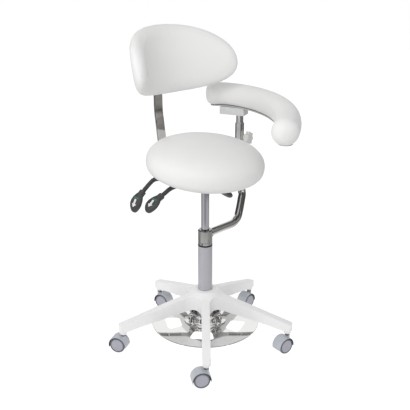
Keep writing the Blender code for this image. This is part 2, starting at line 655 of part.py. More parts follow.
arm_tube()
SOCKET_BORE = SOCKET_OUTER - SOCKET_WALL
socket = ring("post_socket", SOCKET_BORE, SOCKET_OUTER, SOCKET_BOTTOM, SOCKET_TOP, 24, POST, CHROME)
stud_hole = rod("bore", STUD_RADIUS + SEAT_GAP, 0, SOCKET_OUTER + KNOB_NECK, 12)
cut(socket, tool("socket_stud_hole", stud_hole, POST, (0, 0, KNOB_LEVEL), (0, QUARTER, KNOB_TURN)))
SPIGOT_TOP = BRACKET_BOTTOM + SPIGOT_HEIGHT
turned("arm_post", ((0, SPIGOT_TOP), (SPIGOT_RADIUS, SPIGOT_TOP), (SPIGOT_RADIUS, BRACKET_BOTTOM - SEAT_GAP),
                    (POST_RADIUS, BRACKET_BOTTOM - SEAT_GAP), (POST_RADIUS, POST_BOTTOM), (0, POST_BOTTOM)),
       20, POST, CHROME)


def star_knob():
    """A lobed head on a stud that presses on the post."""
    count = 6 * KNOB_LOBES
    lobes = []
    for index in range(count):
        angle = 2 * math.pi * index / count
        radius = KNOB_RADIUS + KNOB_LOBE * math.cos(KNOB_LOBES * angle)
        lobes.append((radius * math.cos(angle), radius * math.sin(angle)))
    head = outline_mesh("star_knob", lobes, KNOB_THICK)
    head_at = SOCKET_OUTER + KNOB_NECK + KNOB_THICK / 2
    head.transform(Matrix.Translation((0, 0, head_at)))
    knob = part("star_knob", head, POST, PALE_KNOB, (0, 0, KNOB_LEVEL), (0, QUARTER, KNOB_TURN))
    join(knob, tool("knob_stud", rod("stud", STUD_RADIUS, POST_RADIUS + SEAT_GAP, head_at, 12), knob))
    join(knob, tool("knob_neck", rod("neck", 2 * STUD_RADIUS, SOCKET_OUTER + SEAT_GAP, head_at, 16), knob))


star_knob()


# Arm pad, board and bracket

def pad_place(t):
    a, b, c, d = (Vector(p) for p in PAD_CURVE)
    return (1 - t) ** 3 * a + 3 * (1 - t) ** 2 * t * b + 3 * (1 - t) * t ** 2 * c + t ** 3 * d


def pad_heading(t):
    a, b, c, d = (Vector(p) for p in PAD_CURVE)
    return ((1 - t) ** 2 * (b - a) + 2 * (1 - t) * t * (c - b) + t ** 2 * (d - c)).normalized()


def arm_pad():
    """A round roll along the plan curve, with domed ends and a flat floor."""
    first = pad_place(0) - pad_heading(0) * PAD_RADIUS
    last = pad_place(1) + pad_heading(1) * PAD_RADIUS
    ends = [math.cos(math.radians(a)) for a in (8, 28, 50, 72)]
    places = [pad_place(0) + (first - pad_place(0)) * share for share in ends]
    radii = [math.sqrt(1 - share ** 2) for share in ends]
    places += [pad_place(i / PAD_STATIONS) for i in range(PAD_STATIONS + 1)]
    radii += [1.0] * (PAD_STATIONS + 1)
    places += [pad_place(1) + (last - pad_place(1)) * share for share in reversed(ends)]
    radii += [math.sqrt(1 - share ** 2) for share in reversed(ends)]
    roll = tube_mesh("arm_pad", [(p.x, p.y, PAD_LEVEL) for p in places], PAD_RADIUS, 6, radii)
    pad = part("arm_pad", roll, STOOL, WHITE_HIDE)
    under = block("under", (-1, -1, PAD_LEVEL - 2 * PAD_RADIUS), (1, 1, PAD_FLOOR))
    cut(pad, tool("arm_pad_floor", under, STOOL))


def arm_board():
    """The stiff board under the pad, a strip along the same curve with round ends."""
    left, right = [], []
    for index in range(PAD_STATIONS + 1):
        t = BOARD_FROM + (BOARD_TO - BOARD_FROM) * index / PAD_STATIONS
        across = pad_heading(t).orthogonal() * BOARD_HALF
        left.append(pad_place(t) + across)
        right.append(pad_place(t) - across)
    cap_far = round_end(pad_place(BOARD_TO), left[-1])
    cap_near = round_end(pad_place(BOARD_FROM), right[0])
    strip = left + cap_far + right[::-1] + cap_near
    board = outline_mesh("arm_pad_board", strip, BOARD_THICK)
    part("arm_pad_board", board, STOOL, BOARD_GREY, (0, 0, PAD_FLOOR - SEAT_GAP - BOARD_THICK / 2))


def round_end(centre, start, steps=8):
    """The points of a half turn, clockwise, after start."""
    arm = start - centre
    return [centre + Matrix.Rotation(-math.pi * step / steps, 2) @ arm for step in range(1, steps)]


def arm_bracket():
    """A block under the board, turned roughly to the pad's run at the post."""
    top = PAD_FLOOR - 2 * SEAT_GAP - BOARD_THICK
    mesh = block("arm_bracket", (BRACKET_PAST_POST - BRACKET_LENGTH, -BRACKET_WIDTH / 2, BRACKET_BOTTOM),
                 (BRACKET_PAST_POST, BRACKET_WIDTH / 2, top))
    bracket = part("arm_bracket", mesh, POST, STEEL, turn=(0, 0, BRACKET_TURN))
    bevel(bracket, 0.0015, 1)
    hole = rod("bore", SPIGOT_RADIUS + SEAT_GAP, BRACKET_BOTTOM - SPIGOT_HEIGHT, SPIGOT_TOP + SEAT_GAP, 20)
    cut(bracket, tool("bracket_bore", hole, POST))


arm_pad()
arm_board()
arm_bracket()


# Seat: domed cushion, board and steel plate, in the tilted frame

def seat_profile():
    points = []
    for step in range(10):
        angle = QUARTER * (1 - step / 10)
        points.append((SEAT_RADIUS * math.cos(angle) ** (2 / SEAT_FULLNESS),
                       SEAT_CROWN * math.sin(angle) ** (2 / SEAT_FULLNESS)))
    points[0] = (0, SEAT_CROWN)
    floor_angle = math.asin((SEAT_FLOOR / SEAT_DEPTH) ** (SEAT_FULLNESS / 2))
    for step in range(6):
        angle = floor_angle * step / 5
        points.append((SEAT_RADIUS * math.cos(angle) ** (2 / SEAT_FULLNESS),
                       -SEAT_DEPTH * math.sin(angle) ** (2 / SEAT_FULLNESS)))
    return points + [(0, -SEAT_FLOOR)]


turned("seat_cushion", seat_profile(), 40, SEAT, WHITE_HIDE)
BOARD_TOP = -SEAT_FLOOR - SEAT_GAP
BOARD_BOTTOM = BOARD_TOP - SEAT_BOARD_THICK
part("seat_board", rod("seat_board", SEAT_BOARD_RADIUS, BOARD_BOTTOM, BOARD_TOP, 40), SEAT, PLYWOOD)
PLATE_CEILING = BOARD_BOTTOM - SEAT_GAP
seat_plate = part("seat_plate", block("seat_plate", (-SEAT_PLATE_X / 2, -SEAT_PLATE_Y / 2, PLATE_CEILING - SEAT_PLATE_THICK),
                                      (SEAT_PLATE_X / 2, SEAT_PLATE_Y / 2, PLATE_CEILING)), SEAT, STEEL)
EAR_INNER = HOUSING_HALF + RUN_GAP + EAR_THICK / 2
EAR_OUTER = EAR_INNER + EAR_THICK
PIN_AXIS = empty("tilt_axis", CHAIR, (0, PIN_BACK, PIN_LEVEL), (0, QUARTER, 0))
PIN_IN_SEAT = Matrix.Rotation(-SEAT_TILT, 3, "X") @ Vector((0, PIN_BACK, PIN_LEVEL - SEAT_LEVEL))
for side in (1, -1):
    near, far = sorted((side * EAR_INNER, side * EAR_OUTER))
    ear = block("ear", (near, PIN_IN_SEAT.y - EAR_LENGTH / 2, PIN_IN_SEAT.z - 2 * PIN_RADIUS),
                (far, PIN_IN_SEAT.y + EAR_LENGTH / 2, PLATE_CEILING - SEAT_PLATE_THICK / 2))
    join(seat_plate, tool("seat_ear", ear, SEAT))
PIN_HALF = EAR_OUTER + PIN_PAST_EAR
cut(seat_plate, tool("seat_ear_bore", rod("bore", PIN_RADIUS + SEAT_GAP, -2 * PIN_HALF, 2 * PIN_HALF, 16), PIN_AXIS))
part("tilt_pin", rod("tilt_pin", PIN_RADIUS, -PIN_HALF, PIN_HALF, 16), PIN_AXIS, STEEL)


# Mechanism housing: a steel tray, open below and behind, on the cylinder's top

HOUSING_BOTTOM = HOUSING_TOP - HOUSING_HEIGHT
housing = part("mechanism_housing", block("housing", (-HOUSING_HALF, HOUSING_FRONT, HOUSING_BOTTOM),
                                          (HOUSING_HALF, HOUSING_REAR, HOUSING_TOP)), CHAIR, BLACK)
inside = block("inside", (HOUSING_WALL - HOUSING_HALF, HOUSING_FRONT + HOUSING_WALL, HOUSING_BOTTOM - HOUSING_HEIGHT),
               (HOUSING_HALF - HOUSING_WALL, 2 * HOUSING_REAR, HOUSING_TOP - HOUSING_WALL))
cut(housing, tool("housing_inside", inside, CHAIR))
open_roof = block("open_roof", (HOUSING_WALL - HOUSING_HALF, HOUSING_ROOF_REAR, HOUSING_BOTTOM),
                  (HOUSING_HALF - HOUSING_WALL, 2 * HOUSING_REAR, HOUSING_TOP + HOUSING_WALL))
cut(housing, tool("housing_open_roof", open_roof, CHAIR))
cone = rod("cone", CONE_RADIUS, HOUSING_BOTTOM - CONE_DROP, HOUSING_TOP - HOUSING_WALL / 2, 24)
join(housing, tool("housing_cone", cone, CHAIR))
cone_bore = rod("bore", CYLINDER_RADIUS + SEAT_GAP, HOUSING_BOTTOM - HOUSING_HEIGHT, CYLINDER_TOP + SEAT_GAP, 24)
cut(housing, tool("housing_cone_bore", cone_bore, CHAIR))
cut(housing, tool("housing_pin_bore", rod("bore", PIN_RADIUS + SEAT_GAP, -2 * PIN_HALF, 2 * PIN_HALF, 16), PIN_AXIS))


# Backrest: carrier tongue, bent bar, height clamp, shell and cushion

TONGUE_BOTTOM = PIN_LEVEL - TONGUE_HEIGHT / 2
BAR_FOOT_LEVEL = TONGUE_BOTTOM - SEAT_GAP - BAR_THICK / 2
tongue = part("back_carrier", block("back_carrier", (-TONGUE_HALF, PIN_BACK - TONGUE_PAST_PIN, TONGUE_BOTTOM),
                                    (TONGUE_HALF, TONGUE_REAR, TONGUE_BOTTOM + TONGUE_HEIGHT)), CHAIR, STEEL)
cut(tongue, tool("carrier_bore", rod("bore", PIN_RADIUS + SEAT_GAP, -2 * PIN_HALF, 2 * PIN_HALF, 16), PIN_AXIS))


def on_lean(behind, up):
    """A place in the plane of symmetry, behind the pad's middle sheet and up the leaning back."""
    return (BACK_DISTANCE + behind * math.cos(BACK_LEAN) + up * math.sin(BACK_LEAN),
            BACK_LEVEL + up * math.cos(BACK_LEAN) - behind * math.sin(BACK_LEAN))


def back_bar():
    """A flat bar bent in one plane; its side outline is the centre line set off both ways."""
    straight = [on_lean(BAR_BEHIND, BAR_TOP), on_lean(BAR_BEHIND, BAR_STRAIGHT)]
    foot = [(BAR_FOOT, BAR_FOOT_LEVEL), (TONGUE_REAR, BAR_FOOT_LEVEL), (BAR_ROOT, BAR_FOOT_LEVEL)]
    line = [straight[0]] + smooth_path([straight[1]] + list(BAR_ROUTE) + foot, 3)
    line = [Vector(p) for p in line]
    front, rear = [], []
    for index, place in enumerate(line):
        before = line[max(index - 1, 0)]
        after = line[min(index + 1, len(line) - 1)]
        across = (after - before).normalized().orthogonal() * BAR_THICK / 2
        front.append(place + across)
        rear.append(place - across)
    mesh = outline_mesh("back_bar", front + rear[::-1], BAR_WIDTH)
    mesh.transform(Matrix(((0, 0, 1, 0), (1, 0, 0, 0), (0, 1, 0, 0), (0, 0, 0, 1))))
    part("back_bar", mesh, CHAIR, CHROME)


def wrapped(arc, up, forward):
    """A place on the backrest, in the chair's frame: along its arc, up it and out of its face."""
    radius = BACK_CURVE - forward
    reach = BACK_CURVE - radius * math.cos(arc / BACK_CURVE)
    height = up - BACK_DROOP * (arc / BACK_HALF_ARC) ** 2
    ahead = reach * math.cos(BACK_LEAN) - height * math.sin(BACK_LEAN)
    return Vector((radius * math.sin(arc / BACK_CURVE), BACK_DISTANCE - ahead,
                   BACK_LEVEL + height * math.cos(BACK_LEAN) + reach * math.sin(BACK_LEAN)))


def squared(part_of, share):
    """One part of a round outline's point, moved out towards a slightly squarer oval."""
    return math.copysign(share * (abs(part_of) / share) ** (2 / BACK_SQUARE), part_of) if share > 0 else 0.0


def back_surface():
    """A ball reshaped into the oval wrapped pad; returns it with each point's share of the outline."""
    bm = bmesh.new()
    bmesh.ops.create_uvsphere(bm, u_segments=30, v_segments=14, radius=1)
    shares = {}
    for vert in bm.verts:
        share = min(1.0, math.hypot(vert.co.x, vert.co.y))
        across = squared(vert.co.x, share) * BACK_HALF_ARC
        up = squared(vert.co.y, share) * BACK_HALF_HEIGHT
        from_edge = math.hypot(across, up) * (1 / share - 1) if share > 0 else BACK_EDGE
        rise = math.sqrt(1 - (1 - min(1, from_edge / BACK_EDGE)) ** 3) * (1 - BACK_CROWN * share ** 2)
        is_front = vert.co.z > 0
        shares[vert] = (share, is_front)
        vert.co = wrapped(across, up, BACK_FRONT * rise if is_front else -BACK_REAR * rise)
    return bm, shares


def back_cushion():
    bm, _ = back_surface()
    part("back_cushion", mesh_of(bm, "back_cushion"), CHAIR, WHITE_HIDE)


def back_shell():
    """The pad's rear face, set off by a hair and thickened backwards."""
    bm, shares = back_surface()
    bm.normal_update()
    offsets = {vert: vert.normal * SEAT_GAP for vert in bm.verts}
    outside = [vert for vert, (share, is_front) in shares.items() if is_front or share > SHELL_SHARE]
    for vert, offset in offsets.items():
        vert.co += offset
    bmesh.ops.delete(bm, geom=outside, context="VERTS")
    shell = part("back_shell", mesh_of(bm, "back_shell"), CHAIR, WHITE_NYLON)
    wall = shell.modifiers.new("wall", "SOLIDIFY")
    wall.thickness = SHELL_THICK
    wall.offset = 1


def back_clamp():
    """A block that slides up the bar and carries the shell."""
    middle = on_lean(BAR_BEHIND, CLAMP_LEVEL)
    slide = empty("back_slide", CHAIR, (0, *middle), (-BACK_LEAN, 0, 0))
    half = BAR_WIDTH / 2
    front = -(BAR_BEHIND - BACK_REAR - SHELL_THICK - 2 * SEAT_GAP)
    rear = BAR_THICK / 2 + RUN_GAP + CLAMP_REAR
    clamp = part("back_clamp", block("back_clamp", (-half - CLAMP_SIDE, front, -CLAMP_LENGTH / 2),
                                     (half + CLAMP_SIDE, rear, CLAMP_LENGTH / 2)), slide, BLACK)
    slot = block("slot", (-half - RUN_GAP, -BAR_THICK / 2 - RUN_GAP, -CLAMP_LENGTH),
                 (half + RUN_GAP, BAR_THICK / 2 + RUN_GAP, CLAMP_LENGTH))
    cut(clamp, tool("back_clamp_slot", slot, slide))


back_bar()
back_cushion()
back_shell()
back_clamp()


# Levers

def lever(name, side, back, route, droop):
    """A bent shaft on an eye beside the housing, and the paddle on its end."""
    eye_x = HOUSING_HALF + RUN_GAP + LEVER_EYE
    axis = empty(name + "_axis", CHAIR, (side * eye_x, back, LEVER_LEVEL), (QUARTER, 0, 0))
    half = LEVER_EYE_LENGTH / 2
    path = smooth_path([(side * eye_x, back, LEVER_LEVEL)] + [(side * x, back, z) for x, z in route], 2)
    shaft_mesh = tube_mesh(name, path, LEVER_RADIUS, 3)
    shaft = part(name + "_shaft", shaft_mesh, CHAIR, CHARCOAL)
    join(shaft, tool(name + "_eye", rod("eye", LEVER_EYE, -half, half, 16), axis))
    end = Vector(path[-1])
    run = (end - Vector(path[-3])).normalized()
    grip = empty(name + "_grip", CHAIR, end)
    angle = math.radians(droop)
    length_axis = Vector((side * math.cos(angle), 0, -math.sin(angle)))
    middle = end + length_axis * (PADDLE_LENGTH / 2 - PADDLE_GRIP)
    bm = bmesh.new()
    bmesh.ops.create_uvsphere(bm, u_segments=16, v_segments=10, radius=1)
    width_axis = Vector((0, 1, 0))
    thick_axis = length_axis.cross(width_axis)
    for vert in bm.verts:
        x, y, z = vert.co
        swell = (1 - abs(z) ** 3) ** (1 / 3) / max(math.hypot(x, y), 0.001)
        waist = PADDLE_NECK + (1 - PADDLE_NECK) * min(1, (1 + z) / 1.2)
        vert.co = middle + length_axis * z * PADDLE_LENGTH / 2
        vert.co += width_axis * x * swell * waist * PADDLE_WIDTH / 2 + thick_axis * y * swell * PADDLE_THICK / 2
    bmesh.ops.recalc_face_normals(bm, faces=bm.faces)
    paddle = part(name + "_paddle", mesh_of(bm, name + "_paddle"), CHAIR, CHARCOAL)
    tip = tube_mesh("tip", [end - run * PADDLE_LENGTH, end + run * SEAT_GAP], LEVER_RADIUS + SEAT_GAP, 3)
    cut(paddle, tool(name + "_paddle_bore", tip, CHAIR))


for lever_name, (which_side, distance_back, shaft_route, paddle_droop) in LEVERS.items():
    lever(lever_name, which_side, distance_back, shaft_route, paddle_droop)
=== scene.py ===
import json
import math

import bpy
from mathutils import Matrix, Vector


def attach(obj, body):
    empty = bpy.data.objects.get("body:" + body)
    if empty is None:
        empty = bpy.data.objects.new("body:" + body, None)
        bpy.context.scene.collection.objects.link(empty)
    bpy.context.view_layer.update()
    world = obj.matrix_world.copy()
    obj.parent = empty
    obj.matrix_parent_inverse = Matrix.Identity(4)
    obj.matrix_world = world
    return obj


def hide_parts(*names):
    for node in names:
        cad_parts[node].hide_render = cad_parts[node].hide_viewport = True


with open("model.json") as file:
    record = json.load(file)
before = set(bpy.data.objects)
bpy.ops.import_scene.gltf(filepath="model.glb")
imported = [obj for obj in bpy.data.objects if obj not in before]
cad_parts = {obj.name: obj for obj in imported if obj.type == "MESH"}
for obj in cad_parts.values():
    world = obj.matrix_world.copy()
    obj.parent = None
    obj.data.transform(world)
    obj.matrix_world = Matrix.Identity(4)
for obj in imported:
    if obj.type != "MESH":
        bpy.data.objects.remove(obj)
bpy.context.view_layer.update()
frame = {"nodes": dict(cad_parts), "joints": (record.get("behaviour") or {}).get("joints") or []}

# Casters. Furniture casters of grey nylon: a moulded hood over two wheels, each a rubber tyre with a pale
# cap snapped into it, turning on a plated stem that is pressed into the base.

WHEEL_RADIUS = 0.0275
TYRE_IN, TYRE_OUT = 0.0095, 0.0200
CAP_RADIUS = 0.0224
HOOD_RADIUS, HOOD_HALF, WEB_HALF, POCKET_RADIUS = 0.0320, 0.0204, 0.0086, 0.0304
HOOD_FRONT, HOOD_REAR = math.radians(-9), math.radians(196)
AXLE_BOSS, STEM_BOSS, STEM_AHEAD = 0.0085, 0.0084, 0.018
NECK_BOTTOM, NECK_TOP = 0.0598, 0.0693

joints = {joint["name"]: joint for joint in frame["joints"]}


def fed(node, **values):
    """Gives each input that is named a value or another node's output."""
    for name, value in values.items():
        socket = node.inputs[name.replace("_", " ")]
        if isinstance(value, bpy.types.NodeSocket):
            node.id_data.links.new(value, socket)
        else:
            socket.default_value = value
    return node


def added(tree, kind, **values):
    """A new shader node with its inputs fed."""
    return fed(tree.nodes.new(f"ShaderNode{kind}"), **values)


def ramp(tree, share, *stops):
    """The colour that a share from 0 to 1 picks between stops."""
    node = added(tree, "ValToRGB", Fac=share)
    for index, (where, colour) in enumerate(stops):
        stop = node.color_ramp.elements[index] if index < 2 else node.color_ramp.elements.new(where)
        stop.position = where
        stop.color = (*colour, 1)
    return node.outputs["Color"]


def finish(name, colour, roughness, metallic=0.0, drift=0.04, patch=0.03, scuff=0.06, grain=0.0,
        grain_size=0.001, stretch=(1, 1, 1)):
    """A procedural finish: colour and gloss drift over patches, and a fine grain stands up as bump."""
    look = bpy.data.materials.new(name)
    look.use_nodes = True
    tree = look.node_tree
    place = added(tree, "TexCoord").outputs["Object"]
    along = added(tree, "Mapping", Vector=place, Scale=stretch).outputs["Vector"]
    patches = added(tree, "TexNoise", Vector=along, Scale=1 / patch, Detail=5).outputs["Fac"]
    darker = [part * (1 - drift) for part in colour]
    lighter = [min(1, part * (1 + drift)) for part in colour]
    tint = ramp(tree, patches, (0.3, darker), (0.7, lighter))
    gloss = added(tree, "MapRange", Value=patches, From_Min=0.3, From_Max=0.7)
    fed(gloss, To_Min=max(0.02, roughness - scuff), To_Max=roughness + scuff)
    shader = fed(tree.nodes["Principled BSDF"], Base_Color=tint, Metallic=metallic)
    fed(shader, Roughness=gloss.outputs["Result"])
    if grain:
        fine = added(tree, "TexNoise", Vector=along, Scale=1 / grain_size, Detail=3).outputs["Fac"]
        bump = added(tree, "Bump", Height=fine, Strength=0.5, Distance=grain)
        fed(shader, Normal=bump.outputs["Normal"])
    return look


def started(name, primitive, **sizes):
    """A primitive to shape further, alone in the selection."""
    bpy.ops.object.select_all(action="DESELECT")
    primitive(**sizes)
    piece = bpy.context.object
    piece.name = name
    return piece


def only(piece):
    """Makes one piece the whole selection, so that the next operator acts on it alone."""
    bpy.ops.object.select_all(action="DESELECT")
    piece.select_set(True)
    bpy.context.view_layer.objects.active = piece


def merged(piece, distance=0.00001, flat=None):
    """Merges doubled points, takes out the edges on flat faces if asked, and turns every face outwards."""
    only(piece)
    bpy.ops.object.mode_set(mode="EDIT")
    bpy.ops.mesh.select_all(action="SELECT")
    bpy.ops.mesh.remove_doubles(threshold=distance)
    if flat:
        bpy.ops.mesh.dissolve_limited(angle_limit=math.radians(flat))
    bpy.ops.mesh.normals_make_consistent(inside=False)
    bpy.ops.object.mode_set(mode="OBJECT")
    return piece


def turned(name, profile, sides=64):
    """A piece from the lathe: one point is drawn out along the half profile, then spun about the Z axis."""
    piece = started(name, bpy.ops.mesh.primitive_plane_add, size=0.001)
    bpy.ops.object.mode_set(mode="EDIT")
    bpy.ops.mesh.merge(type="CENTER")
    bpy.ops.transform.translate(value=(profile[0][0], 0, profile[0][1]))
    for (r, z), (next_r, next_z) in zip(profile, profile[1:]):
        bpy.ops.mesh.extrude_vertices_move(TRANSFORM_OT_translate={"value": (next_r - r, 0, next_z - z)})
    bpy.ops.mesh.select_all(action="SELECT")
    bpy.ops.mesh.spin(steps=sides, angle=2 * math.pi, center=(0, 0, 0), axis=(0, 0, 1))
    bpy.ops.object.mode_set(mode="OBJECT")
    return merged(piece)


def rod_section(radius, foot, top):
    """The half profile of a plain rod."""
    return ((0, top), (radius, top), (radius, foot), (0, foot))


def apply_modifiers(piece):
    only(piece)
    for modifier in list(piece.modifiers):
        bpy.ops.object.modifier_apply(modifier=modifier.name)


def rounded(piece, radius, segments=3, angle=35):
    """Rounds the sharp edges by a real radius and shades the piece smooth, its broad faces staying true."""
    bevel = piece.modifiers.new("rounded", "BEVEL")
    bevel.width = radius
    bevel.segments = segments
    bevel.limit_method = "ANGLE"
    bevel.angle_limit = math.radians(angle)
    apply_modifiers(piece)
    bpy.ops.object.shade_smooth_by_angle(angle=math.radians(40))
    level = piece.modifiers.new("level", "WEIGHTED_NORMAL")
    level.keep_sharp = True
    apply_modifiers(piece)
    return piece


def combine(piece, other, operation):
    """Welds another shape on, or cuts it out, and removes it."""
    step = piece.modifiers.new("combine", "BOOLEAN")
    step.operation = operation
    step.object = other
    apply_modifiers(piece)
    bpy.data.objects.remove(other, do_unlink=True)


def copied(model, name, place):
    """A copy of a model with its own mesh, set at its place."""
    copy = bpy.data.objects.new(name, model.data.copy())
    bpy.context.scene.collection.objects.link(copy)
    copy.data.transform(place)
    return copy


def dressed(piece, look, body, slot, *nodes, at=None):
    """Sets a finished piece at its place, with its material, its body and the solids that it stands for."""
    if at is not None:
        piece.data.transform(at)
    if not piece.data.materials:
        piece.data.materials.append(look)
    piece.name = piece.name.removesuffix("_model")
    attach(piece, body)
    if nodes:
        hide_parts(*nodes)
    return piece


def carried(look, *nodes):
    """A hidden solid keeps its own shape and takes a real finish."""
    for node in nodes:
        frame["nodes"][node].data.materials.clear()
        frame["nodes"][node].data.materials.append(look)


hood_grey = finish("hood_grey_nylon", (0.50, 0.525, 0.57), 0.42, grain=0.00015, grain_size=0.0016)
# Painted shade: a near-black material for the hood's inner faces, standing in for the shadow in the gap
# between hood and wheels.
hood_painted_shade = finish("hood_inside_painted_shade", (0.035, 0.037, 0.045), 0.7, grain=0.0001)
tyre_grey = finish("tyre_grey_rubber", (0.160, 0.165, 0.175), 0.62, drift=0.10, patch=0.012, grain=0.0002)
cap_grey = finish("wheel_cap_grey_nylon", (0.40, 0.405, 0.47), 0.36, grain=0.0001, grain_size=0.0012)
plated = finish("zinc_plated_steel", (0.36, 0.36, 0.38), 0.30, 1.0, drift=0.12, patch=0.006, scuff=0.1)

tyre_model = rounded(turned("tyre_model", ((0, TYRE_IN), (0.0235, TYRE_IN), (0.0262, TYRE_IN + 0.0010),
    (WHEEL_RADIUS, TYRE_IN + 0.0032), (WHEEL_RADIUS, TYRE_OUT - 0.0032), (0.0266, TYRE_OUT - 0.0010),
    (0.0256, TYRE_OUT), (CAP_RADIUS + 0.0014, TYRE_OUT), (CAP_RADIUS + 0.0009, TYRE_OUT - 0.0006),
    (CAP_RADIUS + 0.0006, TYRE_OUT - 0.0034), (0, TYRE_OUT - 0.0034))), 0.0005)
cap_model = rounded(turned("cap_model", ((0, TYRE_OUT + 0.0004), (0.0110, TYRE_OUT + 0.0002),
    (0.0176, TYRE_OUT - 0.0001), (0.0206, TYRE_OUT - 0.0004), (CAP_RADIUS, TYRE_OUT - 0.0012),
    (CAP_RADIUS, TYRE_OUT - 0.0032), (0, TYRE_OUT - 0.0032))), 0.0004)


def hood_shape():
    """The hood's section drawn once and spun part of the way round the axle, with its bosses welded on."""
    section = ((0.0045, WEB_HALF), (0.0284, WEB_HALF), (0.0292, WEB_HALF + 0.003), (0.0301, HOOD_HALF),
        (0.0312, HOOD_HALF), (HOOD_RADIUS, HOOD_HALF - 0.0014))
    loop = list(section) + [(r, -z) for r, z in reversed(section)]
    hood = started("hood_model", bpy.ops.mesh.primitive_circle_add, vertices=len(loop), radius=HOOD_RADIUS)
    start = Matrix.Rotation(HOOD_FRONT, 3, "Z")
    for vert, (r, z) in zip(hood.data.vertices, loop):
        vert.co = start @ Vector((r, 0, z))
    bpy.ops.object.mode_set(mode="EDIT")
    bpy.ops.mesh.select_all(action="SELECT")
    bpy.ops.mesh.spin(steps=48, angle=HOOD_REAR - HOOD_FRONT, center=(0, 0, 0), axis=(0, 0, -1))
    bpy.ops.mesh.select_all(action="SELECT")
    bpy.ops.mesh.fill_holes(sides=0)
    bpy.ops.object.mode_set(mode="OBJECT")
    merged(hood)
    axle_boss = turned("axle_boss", rod_section(AXLE_BOSS, -WEB_HALF, WEB_HALF), 32)
    combine(hood, axle_boss, "UNION")
    top = NECK_BOTTOM - WHEEL_RADIUS - 0.0004
    stem_boss = turned("stem_boss", ((0, top), (STEM_BOSS - 0.001, top), (STEM_BOSS, top - 0.001),
        (STEM_BOSS, 0), (0, 0)), 32)
    stem_up = Matrix.Rotation(math.radians(-90), 4, "X")
    stem_boss.data.transform(Matrix.Translation((STEM_AHEAD, 0, 0)) @ stem_up)
    combine(hood, stem_boss, "UNION")
    rounded(hood, 0.0007, 2)
    hood.data.materials.append(hood_grey)
    hood.data.materials.append(hood_painted_shade)
    # The inward-facing faces of the hood over the wheels get the near-black painted shade; the rest stays
    # grey nylon.
    for face in hood.data.polygons:
        outward = Vector((face.center.x, face.center.y, 0))
        facing_in = outward.length < POCKET_RADIUS and face.normal.dot(outward.normalized()) < 0.3
        face.material_index = 1 if facing_in and abs(face.center.z) > WEB_HALF - 0.0005 else 0
    return hood


hood_model = hood_shape()
stem_model = rounded(turned("stem_model", ((0, 0.0990), (0.0045, 0.0990), (0.0054, 0.0978),
    (0.0054, NECK_TOP), (0.0082, NECK_TOP), (0.0090, NECK_TOP - 0.0008), (0.0090, NECK_TOP - 0.0036),
    (0.0066, NECK_TOP - 0.0042), (0.0066, NECK_BOTTOM + 0.0034), (0.0084, NECK_BOTTOM + 0.0028),
    (0.0084, NECK_BOTTOM), (0.0054, NECK_BOTTOM), (0.0054, 0.0410), (0, 0.0410)), 40), 0.0003, 2)

for place in ("front", "right", "rear_right", "rear_left", "left"):
    roll = joints[f"caster_{place}_roll_a"]
    out = Vector(roll["axis"])
    ahead = Vector((0, 0, 1)).cross(out)
    axes = Matrix((ahead, (0, 0, 1), out)).transposed().to_4x4()
    wheel_place = Matrix.Translation(Vector(roll["pos_m"])) @ axes
    stem_place = Matrix.Translation(Vector(joints[f"caster_{place}_swivel"]["pos_m"]))
    dressed(copied(hood_model, f"caster_{place}_hood_shell", wheel_place), hood_grey, f"caster_{place}",
        "caster_grey", f"caster_{place}_hood")
    dressed(copied(stem_model, f"caster_{place}_neck", stem_place), plated, "base", "steel",
        f"caster_{place}_stem")
    for letter, turn in (("a", 0), ("b", math.pi)):
        wheel = wheel_place @ Matrix.Rotation(turn, 4, "Y")
        body = f"caster_{place}_roller_{letter}"
        dressed(copied(tyre_model, f"caster_{place}_tyre_{letter}", wheel), tyre_grey, body, "tyre",
            f"caster_{place}_wheel_{letter}")
        dressed(copied(cap_model, f"caster_{place}_cap_{letter}", wheel), cap_grey, body, "caster_grey")
    carried(plated, f"caster_{place}_axle")
for model in (tyre_model, cap_model, hood_model, stem_model):
    bpy.data.objects.remove(model, do_unlink=True)


# Base. One injection moulding in white glass-filled nylon: five hollow arms, ribbed inside, flow into a
# socket for the column, and each arm ends in a boss that takes a caster stem.

ARM_HALF, ARM_REACH, ARM_TIP_CORNER, STEM_CIRCLE = 0.0140, 0.3150, 0.006, 0.300
ARM_TURN = math.radians(0.75 - 90)
HUB_FILLET = 0.046
ARM_WALL, ARM_EDGE = 0.004, 0.0030
ARM_SLOPE = ((0.0254, 0.1966), (0.0360, 0.1970), (0.0440, 0.1938), (0.0540, 0.1850), (0.0660, 0.1775),
    (0.1800, 0.1448), (0.2650, 0.1188), (0.3300, 0.0990))
ARM_UNDER = ((0.3300, 0.0765), (0.2860, 0.0800), (0.2450, 0.0895), (0.1300, 0.1130), (0.0850, 0.1205),
    (0.0620, 0.1285), (0.0500, 0.1330), (0.0380, 0.1340), (0.0290, 0.1300), (0.0290, 0.0872),
    (0.0254, 0.0872))
BLANK_FOOT, BLANK_TOP = 0.060, 0.210
RIB_BAYS = ((0.090, 0.135), (0.139, 0.184), (0.188, 0.233), (0.237, 0.274))

column = Vector(joints["seat_swivel"]["pos_m"])
column.z = 0
column_place = Matrix.Translation(column)


def plate(name, outline, bottom, top):
    """A flat outline, filled and extruded to its thickness."""
    piece = started(name, bpy.ops.mesh.primitive_circle_add, vertices=len(outline), fill_type="NGON")
    for vert, (x, y) in zip(piece.data.vertices, outline):
        vert.co = (x, y, bottom)
    bpy.ops.object.mode_set(mode="EDIT")
    bpy.ops.mesh.select_all(action="SELECT")
    bpy.ops.mesh.extrude_region_move(TRANSFORM_OT_translate={"value": (0, 0, top - bottom)})
    bpy.ops.object.mode_set(mode="OBJECT")
    return merged(piece)


def arc(centre, radius, start, sweep, steps):
    """Points along an arc, in plan; angles in degrees."""
    turns = [math.radians(start + sweep * step / steps) for step in range(steps + 1)]
    return [Vector((centre[0] + radius * math.cos(a), centre[1] + radius * math.sin(a))) for a in turns]


